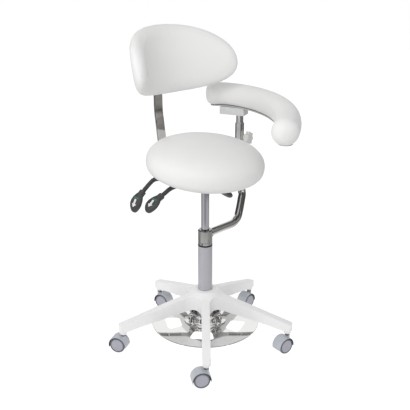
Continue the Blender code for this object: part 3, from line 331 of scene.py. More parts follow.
def fifth(start, number):
    """The turn about the column to one of five like places."""
    return Matrix.Rotation(start + number * 2 * math.pi / 5, 4, "Z")


def star_outline(half, reach, fillet, corner):
    """Five straight arms with rounded tips, run into each other by one fillet between each two."""
    out = (half + fillet) / math.sin(math.radians(36))
    middle = (out * math.cos(math.radians(36)), out * math.sin(math.radians(36)))
    sector = arc((reach - corner, corner - half), corner, -90, 90, 4)
    sector += arc((reach - corner, half - corner), corner, 0, 90, 4)
    sector += arc(middle, fillet, -90, -108, 12)
    return [fifth(ARM_TURN, number).to_2x2() @ point for number in range(5) for point in sector]


def slope_at(radius):
    """The height of the arms' top at a distance from the column."""
    for (r, z), (next_r, next_z) in zip(ARM_SLOPE, ARM_SLOPE[1:]):
        if radius <= next_r:
            return z + (next_z - z) * (radius - r) / (next_r - r)
    return ARM_SLOPE[-1][1]


white_nylon = finish("white_nylon", (0.90, 0.90, 0.90), 0.34, drift=0.012, patch=0.06, grain=0.00012,
    grain_size=0.0014)
base = plate("base_moulding", star_outline(ARM_HALF, ARM_REACH, HUB_FILLET, ARM_TIP_CORNER), BLANK_FOOT,
    BLANK_TOP)
envelope = ARM_SLOPE + ARM_UNDER + ARM_SLOPE[:1]
combine(base, turned("envelope", envelope, 144), "INTERSECT")
for near, far in RIB_BAYS:
    inside = star_outline(ARM_HALF - ARM_WALL, ARM_REACH - 2 * ARM_WALL, HUB_FILLET + ARM_WALL, 0.003)
    bay = plate("bay", inside, BLANK_FOOT - 0.010, BLANK_TOP - 0.010)
    roof = ((near, slope_at(near) - ARM_WALL), (far, slope_at(far) - ARM_WALL), (far, 0.055), (near, 0.055))
    combine(bay, turned("bay_reach", roof + roof[:1], 96), "INTERSECT")
    combine(base, bay, "DIFFERENCE")
for number in range(5):
    boss = turned("boss", ((0, 0.1000), (0.0136, 0.1000), (0.0124, 0.0699), (0, 0.0699)), 32)
    boss.data.transform(fifth(ARM_TURN, number) @ Matrix.Translation((STEM_CIRCLE, 0, 0)))
    combine(base, boss, "UNION")
rounded(merged(base, 0.0002, 0.3), ARM_EDGE, 4, 38)
dressed(base, white_nylon, "base", "white_nylon", "base_star", at=column_place)


# Column. The outer tube is drawn steel in grey powder paint with a black bush pressed in its mouth; inside
# it a thrust bearing and a rod carry the gas cylinder, a ground and satin-plated steel tube.

TUBE_RADIUS, TUBE_BORE, TUBE_FOOT, TUBE_TOP = 0.0250, 0.0234, 0.0990, 0.3618
BUSH_TOP, BUSH_FOOT = 0.3673, 0.2940
CYLINDER_RADIUS, CYLINDER_FOOT, CYLINDER_TOP = 0.0140, 0.1135, 0.5828
FIT, RUNNING_FIT = 0.0003, 0.0004


def tube_section(bore, radius, foot, top):
    """The closed profile of a plain tube."""
    return ((bore, top), (radius, top), (radius, foot), (bore, foot), (bore, top))


def on_column(name, profile, sides=72):
    """A turned piece on the column's axis."""
    piece = turned(name, profile, sides)
    piece.data.transform(column_place)
    return piece


column_grey = finish("column_grey_paint", (0.47, 0.47, 0.505), 0.40, 0.25, drift=0.03, patch=0.05,
    grain=0.00006, grain_size=0.0008)
bush_black = finish("bush_black_nylon", (0.010, 0.010, 0.011), 0.60, grain=0.0001)
satin_steel = finish("satin_cylinder_steel", (0.56, 0.55, 0.61), 0.08, 1.0, drift=0.03, patch=0.02,
    scuff=0.02, stretch=(1, 1, 0.02))
tube = on_column("column_tube_drawn", tube_section(TUBE_BORE, TUBE_RADIUS, TUBE_FOOT, TUBE_TOP))
dressed(rounded(tube, 0.0004, 2), column_grey, "base", "grey_paint", "column_tube")
bush_bore, bush_flange, bush_body = CYLINDER_RADIUS + RUNNING_FIT, TUBE_RADIUS + FIT, TUBE_BORE - FIT
bush = on_column("column_bush", ((bush_bore, BUSH_TOP), (bush_flange, BUSH_TOP),
    (bush_flange, TUBE_TOP + FIT), (bush_body, TUBE_TOP + FIT), (bush_body, BUSH_FOOT),
    (bush_bore, BUSH_FOOT), (bush_bore, BUSH_TOP)))
dressed(rounded(bush, 0.0004, 2), bush_black, "base", "black", "guide_bush")
cylinder = on_column("gas_cylinder_ground", ((0, CYLINDER_TOP), (CYLINDER_RADIUS - 0.001, CYLINDER_TOP),
    (CYLINDER_RADIUS, CYLINDER_TOP - 0.003), (CYLINDER_RADIUS, CYLINDER_FOOT + 0.002),
    (CYLINDER_RADIUS - 0.001, CYLINDER_FOOT), (0, CYLINDER_FOOT)))
dressed(rounded(cylinder, 0.0004, 2), satin_steel, "carriage", "chrome", "gas_cylinder")
carried(plated, "thrust_bearing", "piston_rod")


# Foot disc. A mirror-polished steel plate with five cut-outs and a rolled rim, screwed to a chromed turret;
# the turret hangs on a two-way ring under the base, on three domed pillars, and pushes the gas valve's
# plunger when it tilts.

DISC_RADIUS, DISC_BORE, DISC_TOP, DISC_BOTTOM = 0.1920, 0.0632, 0.0722, 0.0692
HOLE_NEAR, HOLE_FAR, HOLE_NEAR_HALF, HOLE_FAR_HALF, HOLE_CORNER = 0.0895, 0.1417, 0.0310, 0.0445, 0.012
HOLE_TURN = math.radians(-5 - 90)
TURRET_TOP, TURRET_RADIUS = 0.1100, 0.0560
PILLAR_CIRCLE, PILLAR_RADIUS, PILLAR_DOME = 0.0560, 0.0055, 0.0095
PILLAR_TURNS = (-30, -150, 90)


def soft_corners(corners, radius, steps=6):
    """A closed outline, run clockwise, with its corners rounded by arcs of one radius."""
    points = []
    for before, corner, after in zip(corners[-1:] + corners[:-1], corners, corners[1:] + corners[:1]):
        to_before = (Vector(before) - Vector(corner)).normalized()
        to_after = (Vector(after) - Vector(corner)).normalized()
        half = to_before.angle(to_after) / 2
        middle = Vector(corner) + (to_before + to_after).normalized() * radius / math.sin(half)
        first = Vector(corner) + to_before * radius / math.tan(half) - middle
        last = Vector(corner) + to_after * radius / math.tan(half) - middle
        sweep = first.angle_signed(last)
        points += [middle + Matrix.Rotation(-sweep * step / steps, 2) @ first for step in range(steps + 1)]
    return points


mirror = finish("mirror_polished_steel", (0.84, 0.84, 0.83), 0.035, 1.0, drift=0.015, patch=0.05,
    scuff=0.012)
chrome = finish("bright_chrome", (0.80, 0.795, 0.79), 0.07, 1.0, drift=0.03, patch=0.03, scuff=0.03)
disc = turned("foot_disc_plate", ((DISC_BORE, DISC_TOP), (DISC_RADIUS - 0.0018, DISC_TOP),
    (DISC_RADIUS - 0.0004, DISC_TOP - 0.0006), (DISC_RADIUS, DISC_TOP - 0.0016),
    (DISC_RADIUS - 0.0006, DISC_BOTTOM), (DISC_BORE, DISC_BOTTOM), (DISC_BORE, DISC_TOP)), 120)
hole = [(HOLE_NEAR, HOLE_NEAR_HALF), (HOLE_FAR, HOLE_FAR_HALF), (HOLE_FAR, -HOLE_FAR_HALF),
    (HOLE_NEAR, -HOLE_NEAR_HALF)]
for number in range(5):
    cut_out = plate("cut_out", soft_corners(hole, HOLE_CORNER), DISC_BOTTOM - 0.002, DISC_TOP + 0.002)
    cut_out.data.transform(fifth(HOLE_TURN, number))
    combine(disc, cut_out, "DIFFERENCE")
rounded(disc, 0.0004, 2, 50)
bpy.ops.object.shade_smooth_by_angle(angle=math.radians(12))
dressed(disc, mirror, "foot_plate", "chrome", "foot_disc", at=column_place)
turret = turned("foot_turret", ((0.0500, TURRET_TOP), (TURRET_RADIUS - 0.001, TURRET_TOP),
    (TURRET_RADIUS, TURRET_TOP - 0.0015), (TURRET_RADIUS - 0.003, TURRET_TOP - 0.006),
    (TURRET_RADIUS - 0.004, 0.0880), (TURRET_RADIUS, 0.0800), (0.0620, 0.0765), (0.0730, 0.0752),
    (0.0745, 0.0740), (0.0745, 0.0725), (0.0600, 0.0725), (0.0500, 0.0690), (0.0100, 0.0660),
    (0.0038, 0.0660), (0.0038, 0.0690), (0.0480, 0.0720), (0.0480, 0.1000), (0.0500, TURRET_TOP)), 72)
for turn in PILLAR_TURNS:
    pillar = turned("pillar", ((0, 0.1120), (0.0040, 0.1112), (0.0075, 0.1085), (PILLAR_DOME, 0.1045),
        (PILLAR_DOME, 0.1015), (0.0080, 0.0990), (PILLAR_RADIUS, 0.0980), (PILLAR_RADIUS, 0.0840),
        (0.0085, 0.0840), (0.0085, 0.0740), (0, 0.0740)), 32)
    pillar_turn = Matrix.Rotation(math.radians(turn), 4, "Z")
    pillar.data.transform(pillar_turn @ Matrix.Translation((PILLAR_CIRCLE, 0, 0)))
    combine(turret, pillar, "UNION")
rounded(turret, 0.0005, 2, 45)
dressed(turret, chrome, "foot_plate", "chrome", "foot_hub", at=column_place)
carried(plated, "pivot_ring", "release_plunger")


# Arm carrier. A fixed collar with a grub screw stops the turning collar on the gas cylinder; the chromed
# arm tube is welded to the turning collar and swan-necks up to an upright socket.

COLLAR_BORE, COLLAR_CHAMFER = 0.0143, 0.0032
LOCK_FOOT, LOCK_TOP, SWING_FOOT, SWING_TOP = 0.3676, 0.3766, 0.3769, 0.4214
GRUB_RADIUS, GRUB_TURN = 0.0021, math.radians(-114)
ARM_TUBE_RADIUS = 0.0150
WELD_SHARES = (1.02, 1.04, 1.04, 1.02, 0.99, 0.96, 0.92)
ARM_ROUTE = ((0.055, 0.0605, 0.401), (0.094, 0.104, 0.400), (0.1091, 0.125, 0.406), (0.1198, 0.148, 0.4166),
    (0.1347, 0.220, 0.4557), (0.1370, 0.245, 0.4735))
ARM_START, SOCKET_FOOT = 0.0215, 0.5950

collar_steel = finish("collar_turned_steel", (0.41, 0.41, 0.41), 0.20, 1.0, drift=0.14, patch=0.006,
    scuff=0.08, stretch=(1, 1, 0.3))
lock = on_column("lock_collar_turned", tube_section(COLLAR_BORE, TUBE_RADIUS, LOCK_FOOT, LOCK_TOP))
grub_hole = turned("grub_hole", rod_section(GRUB_RADIUS, 0.0225, 0.03), 16)
grub_level = (LOCK_FOOT + LOCK_TOP) / 2
grub_along = Vector((math.cos(GRUB_TURN), math.sin(GRUB_TURN)))
grub_place = Matrix.Translation(column + Vector((0, 0, grub_level))) @ Matrix.Rotation(GRUB_TURN, 4, "Z")
grub_hole.data.transform(grub_place @ Matrix.Rotation(math.radians(90), 4, "Y"))
combine(lock, grub_hole, "DIFFERENCE")
lock.data.materials.append(collar_steel)
lock.data.materials.append(bush_black)
rounded(lock, 0.0005, 2)
for face in lock.data.polygons:
    at = face.center - column
    depth = at.xy.dot(grub_along)
    aside = max((at.xy - grub_along * depth).length, abs(at.z - grub_level))
    face.material_index = 1 if depth > COLLAR_BORE + GRUB_RADIUS / 3 and aside < GRUB_RADIUS * 1.05 else 0
dressed(lock, collar_steel, "carriage", "steel", "lock_collar")
swing = on_column("swing_collar_turned", ((COLLAR_BORE, SWING_TOP),
    (TUBE_RADIUS - COLLAR_CHAMFER, SWING_TOP), (TUBE_RADIUS, SWING_TOP - COLLAR_CHAMFER),
    (TUBE_RADIUS, SWING_FOOT), (COLLAR_BORE, SWING_FOOT), (COLLAR_BORE, SWING_TOP)))
dressed(rounded(swing, 0.0005, 2, 25), collar_steel, "arm", "alloy", "swing_collar")


def smooth_route(points, per_span):
    """A Catmull-Rom line through the given places."""
    places = [Vector(p) for p in points]
    ends = [2 * places[0] - places[1]] + places + [2 * places[-1] - places[-2]]
    line = []
    for a, b, c, d in zip(ends, ends[1:], ends[2:], ends[3:]):
        for t in (step / per_span for step in range(per_span)):
            bent = (2 * a - 5 * b + 4 * c - d) * t ** 2 + (3 * b - 3 * c + d - a) * t ** 3
            line.append(0.5 * (2 * b + (c - a) * t + bent))
    return line + [places[-1]]


def swept(name, line, radius, sides=10, shares=None):
    """A round bar or tube drawn along a line, made a mesh; shares widen or narrow it along the way."""
    curve = bpy.data.curves.new(name, "CURVE")
    curve.dimensions = "3D"
    curve.bevel_depth = radius
    curve.bevel_resolution = sides
    curve.use_fill_caps = True
    spline = curve.splines.new("POLY")
    spline.points.add(len(line) - 1)
    for index, place in enumerate(line):
        spline.points[index].co = (*place, 1)
        spline.points[index].radius = shares[index] if shares else 1
    piece = bpy.data.objects.new(name, curve)
    bpy.context.scene.collection.objects.link(piece)
    only(piece)
    bpy.ops.object.convert(target="MESH")
    piece = merged(bpy.context.object)
    bpy.ops.object.shade_smooth_by_angle(angle=math.radians(50))
    return piece


post = Vector(joints["pad_swivel"]["pos_m"])
post.z = 0
post_place = Matrix.Translation(post)
root = Vector(ARM_ROUTE[0])
root_level = Vector((0, 0, root.z))
towards = Vector((root.x, root.y, 0)).normalized() * ARM_START
upright_levels = ((SOCKET_FOOT + ARM_ROUTE[-1][2]) / 2, SOCKET_FOOT - ARM_TUBE_RADIUS, SOCKET_FOOT)
uprights = [post - column + Vector((0, 0, level)) for level in upright_levels]
arm_line = smooth_route([towards + root_level] + list(ARM_ROUTE) + uprights, 12)
arm = swept("arm_tube_bent", arm_line, ARM_TUBE_RADIUS, 14)
dressed(arm, chrome, "arm", "chrome", "arm_tube", at=column_place)
weld_line = smooth_route([towards * 1.12 + root_level, towards * 1.34 + root_level], 6)
weld = swept("arm_weld_bead", weld_line, ARM_TUBE_RADIUS * 1.09, 14, WELD_SHARES)
dressed(weld, chrome, "arm", "chrome", at=column_place)


# Arm post. A chromed steel socket on the end of the arm tube holds a sliding post; a star knob of pale
# plastic on a threaded stud clamps the post at its height.

SOCKET_RADIUS, SOCKET_BORE, SOCKET_TOP = 0.0164, 0.0137, 0.7345
POST_RADIUS, POST_FOOT, POST_TOP, SPIGOT_RADIUS, SPIGOT_TOP = 0.0131, 0.6270, 0.7626, 0.0080, 0.7768
KNOB_LOBES, KNOB_RADIUS, KNOB_WAVE, KNOB_NEAR, KNOB_FAR = 7, 0.0215, 0.0030, 0.0284, 0.0444

socket = turned("post_socket_tube", ((SOCKET_BORE, SOCKET_TOP), (SOCKET_RADIUS - 0.001, SOCKET_TOP),
    (SOCKET_RADIUS, SOCKET_TOP - 0.001), (SOCKET_RADIUS, SOCKET_FOOT + 0.004),
    (SOCKET_RADIUS - 0.0012, SOCKET_FOOT), (SOCKET_BORE, SOCKET_FOOT), (SOCKET_BORE, SOCKET_TOP)), 64)
dressed(rounded(socket, 0.0004, 2), chrome, "arm", "chrome", "post_socket", at=post_place)
upright = turned("arm_post_turned", ((0, SPIGOT_TOP), (SPIGOT_RADIUS, SPIGOT_TOP), (SPIGOT_RADIUS, POST_TOP),
    (POST_RADIUS - 0.001, POST_TOP), (POST_RADIUS, POST_TOP - 0.001), (POST_RADIUS, POST_FOOT),
    (0, POST_FOOT)), 56)
dressed(rounded(upright, 0.0004, 2), chrome, "arm_upright", "chrome", "arm_post", at=post_place)

knob_level = Vector((0, 0, joints["knob_turn"]["pos_m"][2]))
knob_turn = Vector(joints["knob_turn"]["axis"]).to_track_quat("Z", "X")
knob_place = Matrix.Translation(post + knob_level) @ knob_turn.to_matrix().to_4x4()
knob_white = finish("knob_white_plastic", (0.66, 0.67, 0.645), 0.38, drift=0.03, patch=0.01, grain=0.0001)
lobes = []
for step in range(16 * KNOB_LOBES):
    turn = 2 * math.pi * step / (16 * KNOB_LOBES)
    reach = KNOB_RADIUS + KNOB_WAVE * math.cos(KNOB_LOBES * turn)
    lobes.append((reach * math.cos(turn), reach * math.sin(turn)))
knob = plate("star_knob_moulded", lobes, KNOB_NEAR, KNOB_FAR)
neck = turned("knob_neck", ((0, KNOB_NEAR + 0.002), (0.0100, KNOB_NEAR + 0.002), (0.0085, 0.0210),
    (0.0080, 0.0168), (0.0040, 0.0168), (0.0040, 0.0135), (0, 0.0135)), 32)
combine(knob, neck, "UNION")
dish = turned("knob_dish", ((0, KNOB_FAR + 0.002), (0.0110, KNOB_FAR + 0.002), (0.0100, KNOB_FAR - 0.0012),
    (0, KNOB_FAR - 0.0012)), 40)
combine(knob, dish, "DIFFERENCE")
rounded(knob, 0.0022, 3, 50)
dressed(knob, knob_white, "clamp_knob", "pale_knob", "star_knob", at=knob_place)


# Torso pad. A round roll of foam in white synthetic leather, bent round the sitter's chest, on a curved
# plywood board; a die-cast bracket under the board takes the post's spigot.

PAD_BEND = ((0.041, 0.2987), (0.1116, 0.3131), (0.3263, 0.1265), (0.228, -0.280))
PAD_RADIUS, PAD_LEVEL, PAD_FLOOR = 0.0427, 0.8325, 0.7953
PAD_REAR_END, PAD_REAR_BLUNT, PAD_END_STEPS = 0.0385, 3.0, 12
BOARD_TOP, BOARD_FOOT, BOARD_HALF = 0.7950, 0.7905, 0.0215
BOARD_FROM, BOARD_TO, PAD_STEPS = 0.0, 0.985, 60
BRACKET_FOOT, BRACKET_TOP, BRACKET_REAR, BRACKET_AHEAD, BRACKET_HALF = 0.7630, 0.7902, -0.071, 0.024, 0.0230
BRACKET_TURN = math.radians(-24.5)


def bend_at(share):
    """A point of the pad's centre line in plan, from the column, and its heading."""
    a, b, c, d = (Vector(p) for p in PAD_BEND)
    rest = 1 - share
    point = rest ** 3 * a + 3 * rest ** 2 * share * b + 3 * rest * share ** 2 * c + share ** 3 * d
    heading = 3 * rest ** 2 * (b - a) + 6 * rest * share * (c - b) + 3 * share ** 2 * (d - c)
    return point, heading.normalized()


def leather(name, colour, pore, crease):
    """White synthetic leather: a fine pore grain over slow, soft waves, under a satin coat."""
    look = finish(name, colour, 0.47, drift=0.012, patch=0.09, scuff=0.05)
    tree = look.node_tree
    place = added(tree, "TexCoord").outputs["Object"]
    pores = added(tree, "TexVoronoi", Vector=place, Scale=1 / pore).outputs["Distance"]
    waves = added(tree, "TexNoise", Vector=place, Scale=1 / crease, Detail=2).outputs["Fac"]
    swell = added(tree, "Bump", Height=waves, Strength=0.25, Distance=0.0012).outputs["Normal"]
    grain = added(tree, "Bump", Height=pores, Normal=swell, Strength=0.35, Distance=0.00012)
    fed(tree.nodes["Principled BSDF"], Specular_IOR_Level=0.25, Normal=grain.outputs["Normal"])
    return look


def stuffed(piece, stapled, limit, voxel=0.005):
    """Blows the cover up over its foam by cloth simulation; what is stapled stays, and moves are limited."""
    remesh = piece.modifiers.new("cover_mesh", "REMESH")
    remesh.mode = "VOXEL"
    remesh.voxel_size = voxel
    relax = piece.modifiers.new("even", "SMOOTH")
    relax.factor = 0.5
    relax.iterations = 4
    apply_modifiers(piece)
    before = [vert.co.copy() for vert in piece.data.vertices]
    held = piece.vertex_groups.new(name="stapled")
    held.add([vert.index for vert in piece.data.vertices if stapled(vert.co)], 1.0, "REPLACE")
    cover = piece.modifiers.new("cover", "CLOTH")
    cover.settings.vertex_group_mass = held.name
    cover.settings.use_pressure = True
    cover.settings.uniform_pressure_force = 4
    cover.settings.effector_weights.gravity = 0
    cover.collision_settings.use_collision = False
    cover.point_cache.frame_end = 20
    for step in range(1, 21):
        bpy.context.scene.frame_set(step)
    apply_modifiers(piece)
    bpy.context.scene.frame_set(1)
    for vert, start in zip(piece.data.vertices, before):
        move = vert.co - start
        if move.length > limit:
            vert.co = start + move * (limit / move.length)
    settle = piece.modifiers.new("settle", "SMOOTH")
    settle.factor = 0.5
    settle.iterations = 6
    fine = piece.modifiers.new("fine", "SUBSURF")
    fine.levels = 1
    fine.render_levels = 1
    apply_modifiers(piece)
    bpy.ops.object.shade_smooth()
    return piece


def pad_end(root, run, reach, blunt):
    """Places and width shares along a rounded end of the pad, from its tip inwards."""
    end = []
    for step in range(PAD_END_STEPS):
        out = 1 - (step / PAD_END_STEPS) ** 2
        end.append((root + run * reach * out, max(0.02, (1 - out ** blunt) ** (1 / blunt))))
    return end


upholstery = leather("white_synthetic_leather", (0.80, 0.795, 0.79), 0.0016, 0.035)
board_grey = finish("board_grey_laminate", (0.48, 0.48, 0.475), 0.50, drift=0.08, patch=0.01,
    stretch=(1, 1, 8))
bracket_alloy = finish("bracket_die_cast", (0.76, 0.765, 0.775), 0.42, 0.30, drift=0.04, patch=0.012,
    grain=0.0001)

pad_route = [Vector((*bend_at(step / PAD_STEPS)[0], PAD_LEVEL)) for step in range(PAD_STEPS + 1)]
rear_run = (pad_route[0] - pad_route[1]).normalized()
front_run = (pad_route[-1] - pad_route[-2]).normalized()
pad_run = pad_end(pad_route[0], rear_run, PAD_REAR_END, PAD_REAR_BLUNT)
pad_run += [(place, 1.0) for place in pad_route]
pad_run += reversed(pad_end(pad_route[-1], front_run, PAD_RADIUS, 2))
pad_line, pad_shares = zip(*pad_run)
pad = swept("torso_pad_cover", pad_line, PAD_RADIUS - 0.0012, 12, pad_shares)
for vert in pad.data.vertices:
    vert.co.z = max(vert.co.z, PAD_FLOOR)
pad.data.transform(column_place)
stuffed(pad, lambda at: at.z < PAD_FLOOR + 0.004, 0.003)
for vert in pad.data.vertices:
    vert.co.z = max(vert.co.z, PAD_FLOOR)
dressed(pad, upholstery, "arm_rest", "upholstery", "arm_pad")

near_side, far_side = [], []
for step in range(PAD_STEPS + 1):
    point, heading = bend_at(BOARD_FROM + (BOARD_TO - BOARD_FROM) * step / PAD_STEPS)
    across = Vector((-heading.y, heading.x)) * BOARD_HALF
    near_side.append(point + across)
    far_side.append(point - across)
end_caps = []
for share, side in ((BOARD_TO, 1), (BOARD_FROM, -1)):
    point, heading = bend_at(share)
    across = Vector((-heading.y, heading.x)) * BOARD_HALF * side
    end_caps.append([point + across * math.cos(a) + heading * side * BOARD_HALF * math.sin(a)
        for a in (math.pi * step / 16 for step in range(1, 16))])
board = plate("torso_pad_board", near_side + end_caps[0] + far_side[::-1] + end_caps[1], BOARD_FOOT,
    BOARD_TOP)
board.data.transform(column_place)
dressed(rounded(board, 0.0012, 2, 50), board_grey, "arm_rest", "board", "arm_pad_board")

block = [(BRACKET_REAR, BRACKET_HALF), (BRACKET_AHEAD, BRACKET_HALF), (BRACKET_AHEAD, -BRACKET_HALF),
    (BRACKET_REAR, -BRACKET_HALF)]
bracket = plate("arm_bracket_cast", soft_corners(block, 0.003), BRACKET_FOOT, BRACKET_TOP)
bore = rod_section(SPIGOT_RADIUS + FIT, BRACKET_FOOT - 0.002, SPIGOT_TOP + FIT)
seat_bore = turned("spigot_bore", bore, 32)
combine(bracket, seat_bore, "DIFFERENCE")
rounded(bracket, 0.0012, 3, 50)
dressed(bracket, bracket_alloy, "arm_rest", "alloy", "arm_bracket",
    at=post_place @ Matrix.Rotation(BRACKET_TURN, 4, "Z"))


# Seat. A round moulded foam dome under one piece of white synthetic leather, stapled to a plywood board
# below; the board is screwed to a steel plate on the tilting mechanism, a black tray on the head of the gas
# cylinder.

FACING = math.radians(42)
SEAT_RADIUS, SEAT_LEVEL, SEAT_TILT = 0.2000, 0.652, math.radians(6)
SEAT_CROWN, SEAT_DEPTH, SEAT_FLOOR, SEAT_FULLNESS = 0.078, 0.051, 0.043, 2.6

chair_place = column_place @ Matrix.Rotation(FACING, 4, "Z")
seat_place = chair_place @ Matrix.Translation((0, 0, SEAT_LEVEL)) @ Matrix.Rotation(SEAT_TILT, 4, "X")
start = SEAT_RADIUS - 0.0015
dome = []
for step in range(33):
    turn = math.radians(90 * (1 - step / 32))
    out = start * abs(math.cos(turn)) ** (2 / SEAT_FULLNESS)
    dome.append((out, SEAT_CROWN * math.sin(turn) ** (2 / SEAT_FULLNESS)))
for step in range(1, 25):
    turn = math.radians(90 * step / 24)
    level = -SEAT_DEPTH * math.sin(turn) ** (2 / SEAT_FULLNESS)
    if level < -SEAT_FLOOR:
        break
    dome.append((start * math.cos(turn) ** (2 / SEAT_FULLNESS), level))
dome[0] = (0, SEAT_CROWN)
dome += [(dome[-1][0] - 0.004, -SEAT_FLOOR), (0, -SEAT_FLOOR)]
cushion = turned("seat_cover", dome, 96)
stuffed(cushion, lambda at: at.z < -SEAT_FLOOR + 0.006, 0.0025)
cushion.data.transform(seat_place)
dressed(cushion, upholstery, "seat", "upholstery", "seat_cushion")
mechanism_black = finish("mechanism_black_paint", (0.03, 0.03, 0.032), 0.45, drift=0.15, patch=0.02,
    grain=0.0001)
ply = finish("birch_plywood", (0.34, 0.25, 0.16), 0.6, drift=0.15, patch=0.02, stretch=(1, 0.15, 6))
carried(ply, "seat_board")
carried(plated, "tilt_pin")


# Backrest. A kidney-shaped foam cushion in the same leather, glued into a thin moulded shell that bends
# round the sitter; a clamp on the shell slides on a flat chromed bar that swings down under the seat.

BACK_DISTANCE, BACK_LEVEL, BACK_LEAN = 0.2043, 0.9764, math.radians(13.0)
BACK_CURVE, BACK_HALF_ARC, BACK_HALF_HEIGHT = 0.2300, 0.2620, 0.1160
BACK_DROOP, BACK_SQUARE = 0.0395, 2.15
BACK_FRONT, BACK_REAR, BACK_EDGE, BACK_CROWN = 0.030, 0.020, 0.060, 0.10
SHELL_THICK, SHELL_SHARE = 0.0045, 0.60


def wrapped(across, up, forward):
    """A point of the flat back, bent round the sitter and leant back, in the chair's directions."""
    radius = BACK_CURVE - forward
    turn = across / BACK_CURVE
    reach = BACK_CURVE - radius * math.cos(turn)
    height = up - BACK_DROOP * (across / BACK_HALF_ARC) ** 2
    back = BACK_DISTANCE - (reach * math.cos(BACK_LEAN) - height * math.sin(BACK_LEAN))
    level = BACK_LEVEL + height * math.cos(BACK_LEAN) + reach * math.sin(BACK_LEAN)
    return Vector((radius * math.sin(turn), back, level))


def squared(part_of, share):
    """One part of a round outline's point, moved out towards a slightly squarer oval."""
    if share == 0:
        return 0.0
    return math.copysign(share * (abs(part_of) / share) ** (2 / BACK_SQUARE), part_of)


def back_form(name, rise_front, rise_rear, keep):
    """A ball flattened to the back's oval section by section and bent to its curve."""
    piece = started(name, bpy.ops.mesh.primitive_uv_sphere_add, segments=96, ring_count=64, radius=1)
    bpy.ops.object.mode_set(mode="EDIT")
    bpy.ops.mesh.select_all(action="DESELECT")
    bpy.ops.object.mode_set(mode="OBJECT")
    for vert in piece.data.vertices:
        vert.select = not keep(vert.co)
    bpy.ops.object.mode_set(mode="EDIT")
    bpy.ops.mesh.delete(type="VERT")
    bpy.ops.object.mode_set(mode="OBJECT")
    for vert in piece.data.vertices:
        share = min(1, math.hypot(vert.co.x, vert.co.y))
        across = squared(vert.co.x, share) * BACK_HALF_ARC
        up = squared(vert.co.y, share) * BACK_HALF_HEIGHT
        from_edge = math.hypot(across, up) * (1 / share - 1) if share > 0 else BACK_EDGE
        rise = math.sqrt(1 - (1 - min(1, from_edge / BACK_EDGE)) ** 3) * (1 - BACK_CROWN * share ** 2)
        vert.co = wrapped(across, up, rise_front * rise if vert.co.z > 0 else -rise_rear * rise)
    return piece


back = back_form("back_cover", BACK_FRONT - 0.001, BACK_REAR, lambda at: True)
bend_axis = Vector((0, BACK_DISTANCE - BACK_CURVE))
stuffed(back, lambda at: (at.xy - bend_axis).length > BACK_CURVE + 0.004, 0.002, 0.0045)
back.data.transform(chair_place)
merged(back)
dressed(back, upholstery, "backrest", "upholstery", "back_cushion")

shell = back_form("back_shell_moulded", BACK_FRONT, BACK_REAR,
    lambda at: at.z < 0.001 and math.hypot(at.x, at.y) < SHELL_SHARE)
wall = shell.modifiers.new("wall", "SOLIDIFY")
wall.thickness = SHELL_THICK
wall.offset = 1
apply_modifiers(shell)
rounded(shell, 0.0022, 3, 50)
dressed(shell, white_nylon, "backrest", "white_nylon", "back_shell", at=chair_place)


def eased(node, name, radius, look, body, slot):
    """A bent or milled steel piece: the solid's own shape with its edges broken."""
    piece = copied(frame["nodes"][node], name, frame["nodes"][node].matrix_world)
    piece.data.materials.clear()
    merged(piece, flat=1)
    return dressed(rounded(piece, radius, 2, 40), look, body, slot, node)


eased("back_clamp", "back_clamp_block", 0.0025, mechanism_black, "backrest", "black")
eased("back_carrier", "back_carrier_tongue", 0.0008, mechanism_black, "back_frame", "steel")
eased("mechanism_housing", "mechanism_tray", 0.0006, mechanism_black, "carriage", "black_steel")
eased("seat_plate", "seat_plate_pressed", 0.0006, mechanism_black, "seat", "steel")

BAR_WIDTH, BAR_THICK, BAR_EDGE = 0.037, 0.008, 0.0036
BAR_BEHIND, BAR_TOP, BAR_STRAIGHT = 0.064, 0.075, -0.098
BAR_ROUTE = ((0.2450, 0.835), (0.2440, 0.795), (0.2375, 0.752), (0.2300, 0.702), (0.2225, 0.660),
    (0.2105, 0.617), (0.1900, 0.586), (0.1680, 0.5715), (0.150, 0.5687), (0.132, 0.5687), (0.090, 0.5687))


def on_lean(behind, up):
    """A place in the chair's middle plane, behind the cushion and up along its lean."""
    return (BACK_DISTANCE + behind * math.cos(BACK_LEAN) + up * math.sin(BACK_LEAN),
        BACK_LEVEL + up * math.cos(BACK_LEAN) - behind * math.sin(BACK_LEAN))


bar_line = [Vector(on_lean(BAR_BEHIND, BAR_TOP))]
bar_line += smooth_route([on_lean(BAR_BEHIND, BAR_STRAIGHT)] + list(BAR_ROUTE), 8)
bar_front, bar_rear = [], []
for index, place in enumerate(bar_line):
    along = bar_line[min(index + 1, len(bar_line) - 1)] - bar_line[max(index - 1, 0)]
    across = along.normalized().orthogonal() * BAR_THICK / 2
    bar_front.append(place + across)
    bar_rear.append(place - across)
bar = plate("back_bar_bent", bar_front + bar_rear[::-1], -BAR_WIDTH / 2, BAR_WIDTH / 2)
bar.data.transform(chair_place @ Matrix(((0, 0, 1, 0), (1, 0, 0, 0), (0, 1, 0, 0), (0, 0, 0, 1))))
rounded(bar, BAR_EDGE, 6, 50)
dressed(bar, chrome, "back_frame", "chrome", "back_bar")


# Levers. Three bent steel shafts in ribbed black sleeves, each with a ferrule and a pear-shaped paddle of
# dark plastic that carries a plain raised arrow; they release the back, the tilt and the gas lift.

